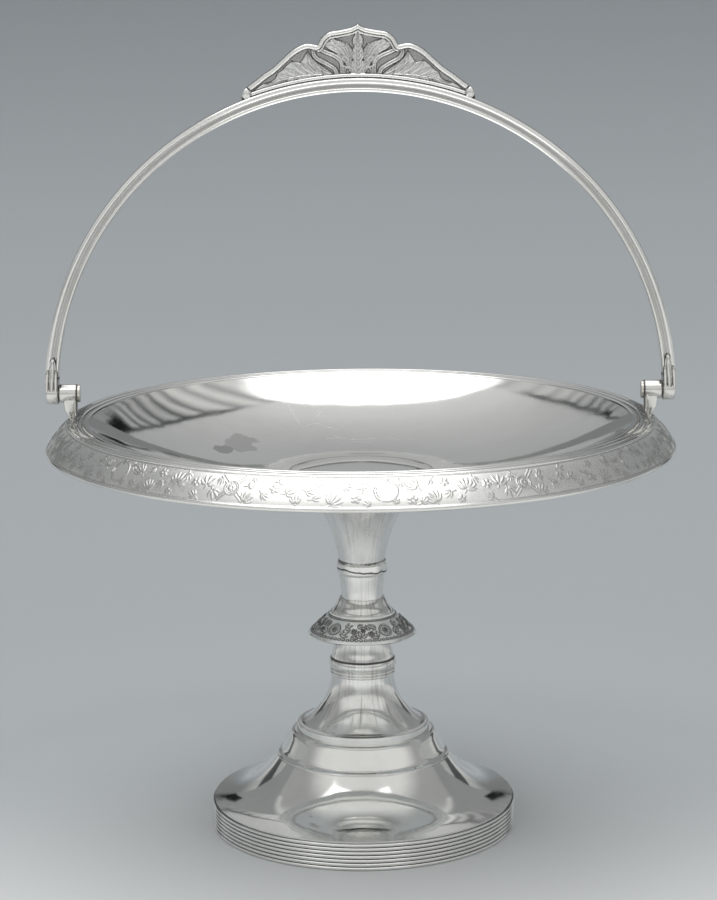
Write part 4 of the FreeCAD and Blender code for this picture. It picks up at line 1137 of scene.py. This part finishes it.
def crest_drawing(x, z):
    drawing = Drawing(x, z)
    outer, _ = nearest_on_path(x, z, top_path)
    wing = x > hood_end[0] * crest_half_length
    for corners in (frond_mass, spray_mass, lance_mass):
        drawing.mass(corners, mass_rise)
    for blades in (frond_blades, spray_blades):
        for base, middle, tip, width in blades:
            path = photo_crest([base, middle, tip])
            drawing.stroke(path, (0.35 * width, 0.8 * width, width, 0.75 * width, 0.1 * width), blade_rise, 0.35)
            drawing.stroke([shifted(p, 0.0, 0.35 * width) for p in path], (0.1, 0.16, 0.1), 1.12 * blade_rise)
    for vein in veins:
        drawing.stroke(photo_crest(vein), (0.15, 0.3, 0.35, 0.4), 1.15 * blade_rise)
    volute = photo_crest([(344.5, 66.5), (338.6, 63.6), (337.4, 58.6), (341.2, 55.4), (344.8, 58.4), (342.4, 61.2)])
    drawing.stroke(volute, (0.5, 0.55, 0.45, 0.3), 0.9 * blade_rise, 0.0, 6)
    arch = photo_crest([(341.0, 73.0), (341.4, 67.8), (345.0, 65.2), (348.4, 67.8), (348.6, 73.0)])
    drawing.stroke(arch, (0.4, 0.45, 0.4), 0.9, 0.0, 6)
    for tier in range(4):
        foot = 45.0 + 9.0 * tier
        for reach, drop in ((5.2, 0.0), (3.4, 3.6)):
            chevron = photo_crest([(353.7, foot + drop), (351.6, foot + drop - 3.6),
                                   (353.9 - reach, foot + drop - 6.4)])
            drawing.stroke(chevron, (0.35, 0.5, 0.42, 0.1), 1.05, 0.0, 6)
    lance = photo_crest([(353.9, 30.1), (353.9, 36.0), (353.9, 46.0), (353.9, 73.0)])
    drawing.stroke(lance, (0.1, 0.35, 0.4, 0.4), 1.2, 0.0, 6)
    for scroll in (inner_scroll, outer_scroll):
        drawing.stroke(scroll, (0.95, 1.0, 0.95), 1.2, 0.6, 6)
    drawing.dot(photo_crest([(311.8, 47.4)])[0], 1.2, 1.25)
    wide = np.where(wing, wing_border_half, hood_border_half)
    drawing.rib(np.abs(outer - wide), wide, 1.25)
    drawing.rib(np.where(wing, nowhere, np.abs(outer - fine_line_in)), fine_line_half, 1.0)
    from_bow = np.hypot(x, z + crest_foot_z - bow_centre_z / MM) - crest_seat_radius
    drawing.rib(np.abs(from_bow - rail_half), rail_half, 1.5)
    drawing.rib(np.hypot(x - knob_middle[0], 0.8 * (z - knob_middle[1])), knob_radius, 1.5)
    return drawing, outer


def place_crest(u, v):
    x = (u - 0.5) * 2 * 0.993 * crest_half_length
    side = np.abs(x)
    top = np.interp(side, [p[0] for p in top_path], [p[1] for p in top_path])
    foot = np.sqrt(crest_seat_radius ** 2 - side ** 2) + bow_centre_z / MM - crest_foot_z
    z = foot + np.maximum(top - foot, 0.05) * v
    drawing, outer = crest_drawing(side, z)
    relief = drawing.rise * np.clip(outer / 0.2, 0, 1)
    points = np.stack([x, -(crest_ground + relief), z + crest_foot_z], axis=1)
    ground = np.clip(1 - drawing.rise / 0.35, 0, 1)
    leafy = np.clip(1 - np.abs(drawing.rise - mass_rise) / 0.2, 0, 1)
    return points, np.clip(ground_dark * ground + edge_tarnish_and_shade_dark * drawing.line + leafy_dark * leafy, 0, 1)


crest_plate = silver("crest_plate", 0.25, haze=0.4, haze_size=8 * MM, marks=0.012, hollow="#69696B")
read_hollow(crest_plate)
crest_shape = relief_sheet(crest_columns, crest_rows, place_crest)
add_piece("leaf_crest", mirrored_shell(crest_shape), "handle", "crest_plate", crest_plate, "handle_crest",
          smooth_angle=60)

# %% [markdown]
# ## Handle terminals
# Each end of the bow sits in a small casting: an eye for the rivet, a short square shank, and a three-lobed
# leaf on both faces of the bow. The eye is a lathed drum, the shank a bevelled block, and each leaf
# a slab with its relief drawn by strokes.

# %% Terminal
pivot_z = 185.15
terminal_inner, terminal_outer = 124.45, 129.5
eye_radius, eye_hole, eye_bevel = 4.5, 1.72, 0.7
drum_steps = 64
shoulder_z = 191.05
leaf_rise = 9.4
bow_middle = bow_inner_radius / MM + bow_width / 2


def drum(start, end, radius, bevel, hole):
    # a turned drum on the hinge axis, with rolled edges and a hole for the rivet
    outline = [(start, hole), (start, radius - bevel)]
    outline += [(start + bevel * (1 - math.cos(t)), radius - bevel * (1 - math.sin(t)))
                for t in np.linspace(0.3, math.pi / 2, 4)]
    outline += [(end - bevel * (1 - math.cos(t)), radius - bevel * (1 - math.sin(t)))
                for t in np.linspace(math.pi / 2, 0.3, 4)]
    outline += [(end, radius - bevel), (end, hole), (start, hole)]
    points = [(x * MM, 0, (pivot_z + r) * MM) for x, r in outline]
    return spun(points, drum_steps, axis=(1, 0, 0), centre=(0, 0, pivot_z * MM))


def block(low, high, bevel):
    shape = bmesh.new()
    bmesh.ops.create_cube(shape, size=1.0)
    size = [h - l for l, h in zip(low, high)]
    middle = [(h + l) / 2 for l, h in zip(low, high)]
    bmesh.ops.scale(shape, vec=[s * MM for s in size], verts=shape.verts[:])
    bmesh.ops.translate(shape, vec=[m * MM for m in middle], verts=shape.verts[:])
    bmesh.ops.bevel(shape, geom=shape.edges[:], offset=bevel * MM, affect="EDGES", segments=3, profile=0.5,
                    material=-1, offset_type="OFFSET", clamp_overlap=True)
    return shape


# height as a share of the leaf's rise above the shoulder, and width as a share of the shank's
leaf_foot_share = -0.45
leaf_heights = (leaf_foot_share, 0.12, 0.25, 0.38, 0.46, 0.5, 0.56, 0.7, 0.85, 0.94, 1.0)
leaf_widths = (1.0, 1.0, 1.02, 0.98, 0.82, 0.6, 0.6, 0.5, 0.36, 0.24, 0.05)
terminal_half_width = (terminal_outer - terminal_inner) / 2
leaf_face = 4.25
leaf_edge_share = 0.12
terminal_line = 0.45
root_bevel = 0.45


def place_terminal_leaf(u, v):
    share = leaf_foot_share + (1 - leaf_foot_share) * v
    level = shoulder_z + leaf_rise * share
    half = np.interp(share, leaf_heights, leaf_widths) * terminal_half_width
    side = (u - 0.5) * 2
    middle = np.sqrt(bow_middle ** 2 - (level - bow_centre_z / MM) ** 2)
    x = side * half
    drawing = Drawing(x, share * leaf_rise)
    for way in (-1, 1):
        drawing.stroke([(way * 1.85, -4.2), (way * 1.85, 0.0), (way * 1.8, 2.6), (way * 1.6, 4.4)],
                       (0.55, 0.7, 0.68, 0.2), 0.5)
        drawing.dot((way * 1.7, 3.7), 0.5, 0.62)
    drawing.stroke([(0, -4.2), (0, 1.5), (0, 5.5), (0, 9.0)], (0.8, 1.05, 1.0, 0.3), 0.62)
    drawing.stroke([(0.35, -4.2), (0.3, 1.0), (0.1, 5.0)], (0.1, 0.16, 0.06), 0.72)
    drawing.dot((0, 8.2), 0.8, 0.8)
    edge = np.clip(np.minimum(1 - np.abs(side), 1 - v) / leaf_edge_share, 0, 1)
    points = np.stack([middle + x, -(leaf_face + drawing.rise * edge), level], axis=1)
    return points, drawing.line * terminal_line


def terminal_leaf():
    return backed(relief_sheet(40, 90, place_terminal_leaf), 1, lambda place: -(bow_half_depth + 0.02) * MM)


def terminal():
    front, back = terminal_leaf(), terminal_leaf()
    bmesh.ops.scale(back, vec=(1, -1, 1), verts=back.verts[:])
    eye = drum(terminal_inner, terminal_outer, eye_radius, eye_bevel, eye_hole)
    root = block((terminal_inner + 0.05, -leaf_face, pivot_z + 1.9), (terminal_outer - 0.05, leaf_face, shoulder_z),
                 root_bevel)
    return joined(front, outward(back), eye, root)


print("terminal leaf rises", leaf_rise, "mm over its shoulder")

# %% Terminals in place
# The joints between barrel, eye and rivet head get painted shade, as dark rings at these distances from the middle.
joint_shade_places = (117.0, 124.3)
joint_shade_outer, joint_shade_inner = 0.6 * MM, 0.15 * MM
cast_plate = silver("cast_plate", 0.15, haze=0.5, haze_size=4 * MM, marks=0.02, hollow="#53524F", tint="#E6E5E2")
tree = cast_plate["tree"]
parts = add_node(tree, "SeparateXYZ", {"Vector": cast_plate["place"]})
aside = add_node(tree, "Math", {0: parts.outputs["X"]}, operation="ABSOLUTE")
hollows_and_joint_shade = read_hollow(cast_plate)
for joint_place in joint_shade_places:
    ring = line_mask(tree, aside, joint_place * MM, joint_shade_outer, joint_shade_inner, 0.85)
    hollows_and_joint_shade = add_node(tree, "Math", {0: ring, 1: hollows_and_joint_shade}, operation="MAXIMUM")
darken(cast_plate, hollows_and_joint_shade)
add_piece("leaf_terminal_right", terminal(), "handle", "cast_plate", cast_plate, "handle_terminal_right")
add_piece("leaf_terminal_left", flipped_to_left(terminal()), "handle", "cast_plate", cast_plate,
          "handle_terminal_left")

# %% [markdown]
# ## Hinge lugs
# The lug stands on the rim moulding: a drum for the rivet, a post that narrows down to the rim like a bud, and a
# long leaf that lies along the moulding on both sides. The drum is lathed, the post is a grid rolled round its
# own axis, and the leaf is a slab bent to the rim's curve with its strands drawn in relief.

# %% Lug
barrel_inner, barrel_outer = 116.7, 124.2
barrel_radius, barrel_hole, barrel_bevel = 3.83, 1.75, 0.45
lug_seat_z = 174.2
lug_leaf_radius = 118.3
lug_leaf_half_length = 33.0
lug_leaf_half_width = 2.5
lug_leaf_height = 2.0
post_top_z = pivot_z - 1.5
post_foot_z = lug_seat_z - 0.05
# shares of the post's height, with its inner and outer faces and its half-depth there
post_shares = (0, 0.12, 0.3, 0.58, 1)
post_inner_faces = (117.1, 117.3, 117.35, 117.1, 116.95)
post_outer_faces = (120.3, 120.5, 121.2, 122.2, 122.65)
post_depth_shares = (0, 0.12, 0.5, 1)
post_half_depths = (2.9, 2.2, 2.7, 3.0)
ridge_height, ridge_count = 0.12, 10


def place_post(u, v):
    # v runs up the post; its section is a rounded rectangle with a ridge in front and behind
    level = post_foot_z + (post_top_z - post_foot_z) * v
    rise = np.clip((level - lug_seat_z) / (pivot_z - barrel_radius - lug_seat_z), 0, 1)
    inner = np.interp(rise, post_shares, post_inner_faces)
    outer = np.interp(rise, post_shares, post_outer_faces)
    deep = np.interp(rise, post_depth_shares, post_half_depths)
    angle = u * 2 * math.pi
    square = (np.abs(np.cos(angle)) ** 5 + np.abs(np.sin(angle)) ** 5) ** (-1 / 5)
    ridges = ridge_height * np.cos(angle * ridge_count) * np.clip(0.9 - 1.6 * rise, 0, 1)
    x = (inner + outer) / 2 + ((outer - inner) / 2 * square + ridges) * np.cos(angle)
    y = (deep * square + ridges) * np.sin(angle)
    hollow = np.clip(-ridges / ridge_height, 0, 1) * 0.5
    return np.stack([x, y, level], axis=1), hollow


print("the post stands", round(post_top_z - post_foot_z, 2), "mm high")

# %% Lug leaf
strand_starts = [(0.0, 0.0), (-1.3, -0.6), (1.3, 0.6)]
lobe_places = (6.5, 12.5, 18.5)


def place_lug_leaf(u, v):
    along = (u - 0.5) * 2 * lug_leaf_half_length
    side = (v - 0.5) * 2
    share = np.abs(along) / lug_leaf_half_length
    wavy = 1 - 0.12 * np.cos(share * 22) * (1 - share)
    half = lug_leaf_half_width * np.sqrt(np.clip(1 - share ** 1.6, 0, None)) * wavy
    drawing = Drawing(along, side * lug_leaf_half_width)
    for way in (-1, 1):
        for start, bend in strand_starts:
            drawing.stroke([(0, start * 0.6), (way * 8, start), (way * 20, bend), (way * 31, 0)],
                           (0.55, 0.6, 0.5, 0.3), 0.45)
        for place in lobe_places:
            for lobe in (-1, 1):
                drawing.leaf((way * (place - 5), lobe * 0.4), (way * place, lobe * 2.1), 0.8, 0.7,
                             -0.15 * lobe * way, 0.4)
    radius = lug_leaf_radius + side * np.maximum(half, 0.02)
    crown = lug_leaf_height * half_round(side, 1) * (1 - 0.55 * share ** 1.5)
    edge = np.clip((1 - np.abs(side)) / 0.2, 0, 1)
    angle = along / lug_leaf_radius
    level = lug_seat_z + 0.02 + 0.75 * crown + drawing.rise * edge * (1 - 0.6 * share)
    # painted shade: the leaf darkens along its edges, where it meets the moulding
    outline = 0.75 * np.clip(1 - (1 - np.abs(side)) / 0.22, 0, 1) * np.clip((1 - share) / 0.1, 0, 1)
    hollow = np.maximum(outline, 0.8 * drawing.line)
    return np.stack([radius * np.cos(angle), radius * np.sin(angle), level], axis=1), hollow


def lug():
    barrel = drum(barrel_inner, barrel_outer, barrel_radius, barrel_bevel, barrel_hole)
    post = capped(merged(relief_sheet(80, 36, place_post)))
    leaf = backed(relief_sheet(260, 24, place_lug_leaf), 2, lambda place: (lug_seat_z + 0.005) * MM)
    return joined(barrel, post, leaf)


add_piece("leaf_lug_right", lug(), "stand", "cast_plate", cast_plate, "hinge_lug_right")
add_piece("leaf_lug_left", flipped_to_left(lug()), "stand", "cast_plate", cast_plate, "hinge_lug_left")

# %% [markdown]
# ## Engraved sprig
# A small spray was engraved far inside the dish. A graver leaves bright, narrow cuts, which are modelled as
# thin tapering ribbons laid on the bowl's curve: proud by a few hundredths of a millimetre, and closed below.

# %% Sprig
bowl_floor_z = 152.0
bowl_depth = 22.0
bowl_start, bowl_end = 34.0, 111.6
bowl_curve = 1.9
sprig_lines = [[(-32.7, 85.9), (-29.8, 78.1), (-27.0, 70.5), (-25.8, 66.5)],
               [(-16.6, 85.1), (-18.2, 80.5), (-20.8, 76.0)],
               [(-25.6, 66.8), (-20.4, 71.9), (-15.5, 69.7), (-10.2, 66.3)], [(-20.8, 76.0), (-22.6, 70.5)],
               [(-17.6, 82.0), (-19.6, 82.6)], [(-30.8, 80.5), (-29.2, 82.0)],
               [(-12.0, 60.0), (-4.0, 56.0), (6.0, 57.5)], [(-9.0, 51.0), (-3.0, 53.5), (4.0, 52.0)],
               [(-4.0, 56.0), (-1.0, 62.0)], [(-15.0, 56.5), (-9.0, 58.0)],
               [(10.0, 60.0), (15.0, 55.5), (24.0, 54.0)]]
cut_half_width = 0.2
cut_rise = 0.03
cut_depth = 0.02


def on_bowl(x, y):
    share = np.clip((np.hypot(x, y) - bowl_start) / (bowl_end - bowl_start), 0, 1)
    return bowl_floor_z + bowl_depth * share ** bowl_curve


def graver_cut(points):
    path = np.array(smooth_path(points, 8))
    runs = np.linspace(0, 1, len(path))

    def place(u, v):
        x, y = np.interp(u, runs, path[:, 0]), np.interp(u, runs, path[:, 1])
        way = np.gradient(path, axis=0)
        way = way / np.hypot(way[:, 0], way[:, 1])[:, None]
        out_x, out_y = -np.interp(u, runs, way[:, 1]), np.interp(u, runs, way[:, 0])
        half = cut_half_width * (2 * v - 1) * np.sqrt(np.clip(1 - (2 * u - 1) ** 4, 0.02, 1))
        x, y = x + out_x * half, y + out_y * half
        lift = np.where(np.abs(v - 0.5) < 0.4, cut_rise, 0.0)
        return np.stack([x, y, on_bowl(x, y) + lift], axis=1), np.zeros(x.shape)

    return backed(relief_sheet(24, 3, place), 2, lambda place: place.z - cut_depth * MM)


sprig_plate = silver("sprig_plate", 0.36, haze=0.5, haze_size=3 * MM, tint="#D3D2CF")
add_piece("engraved_sprig", joined(*[graver_cut(points) for points in sprig_lines]), "stand", "mirror_plate",
          sprig_plate)
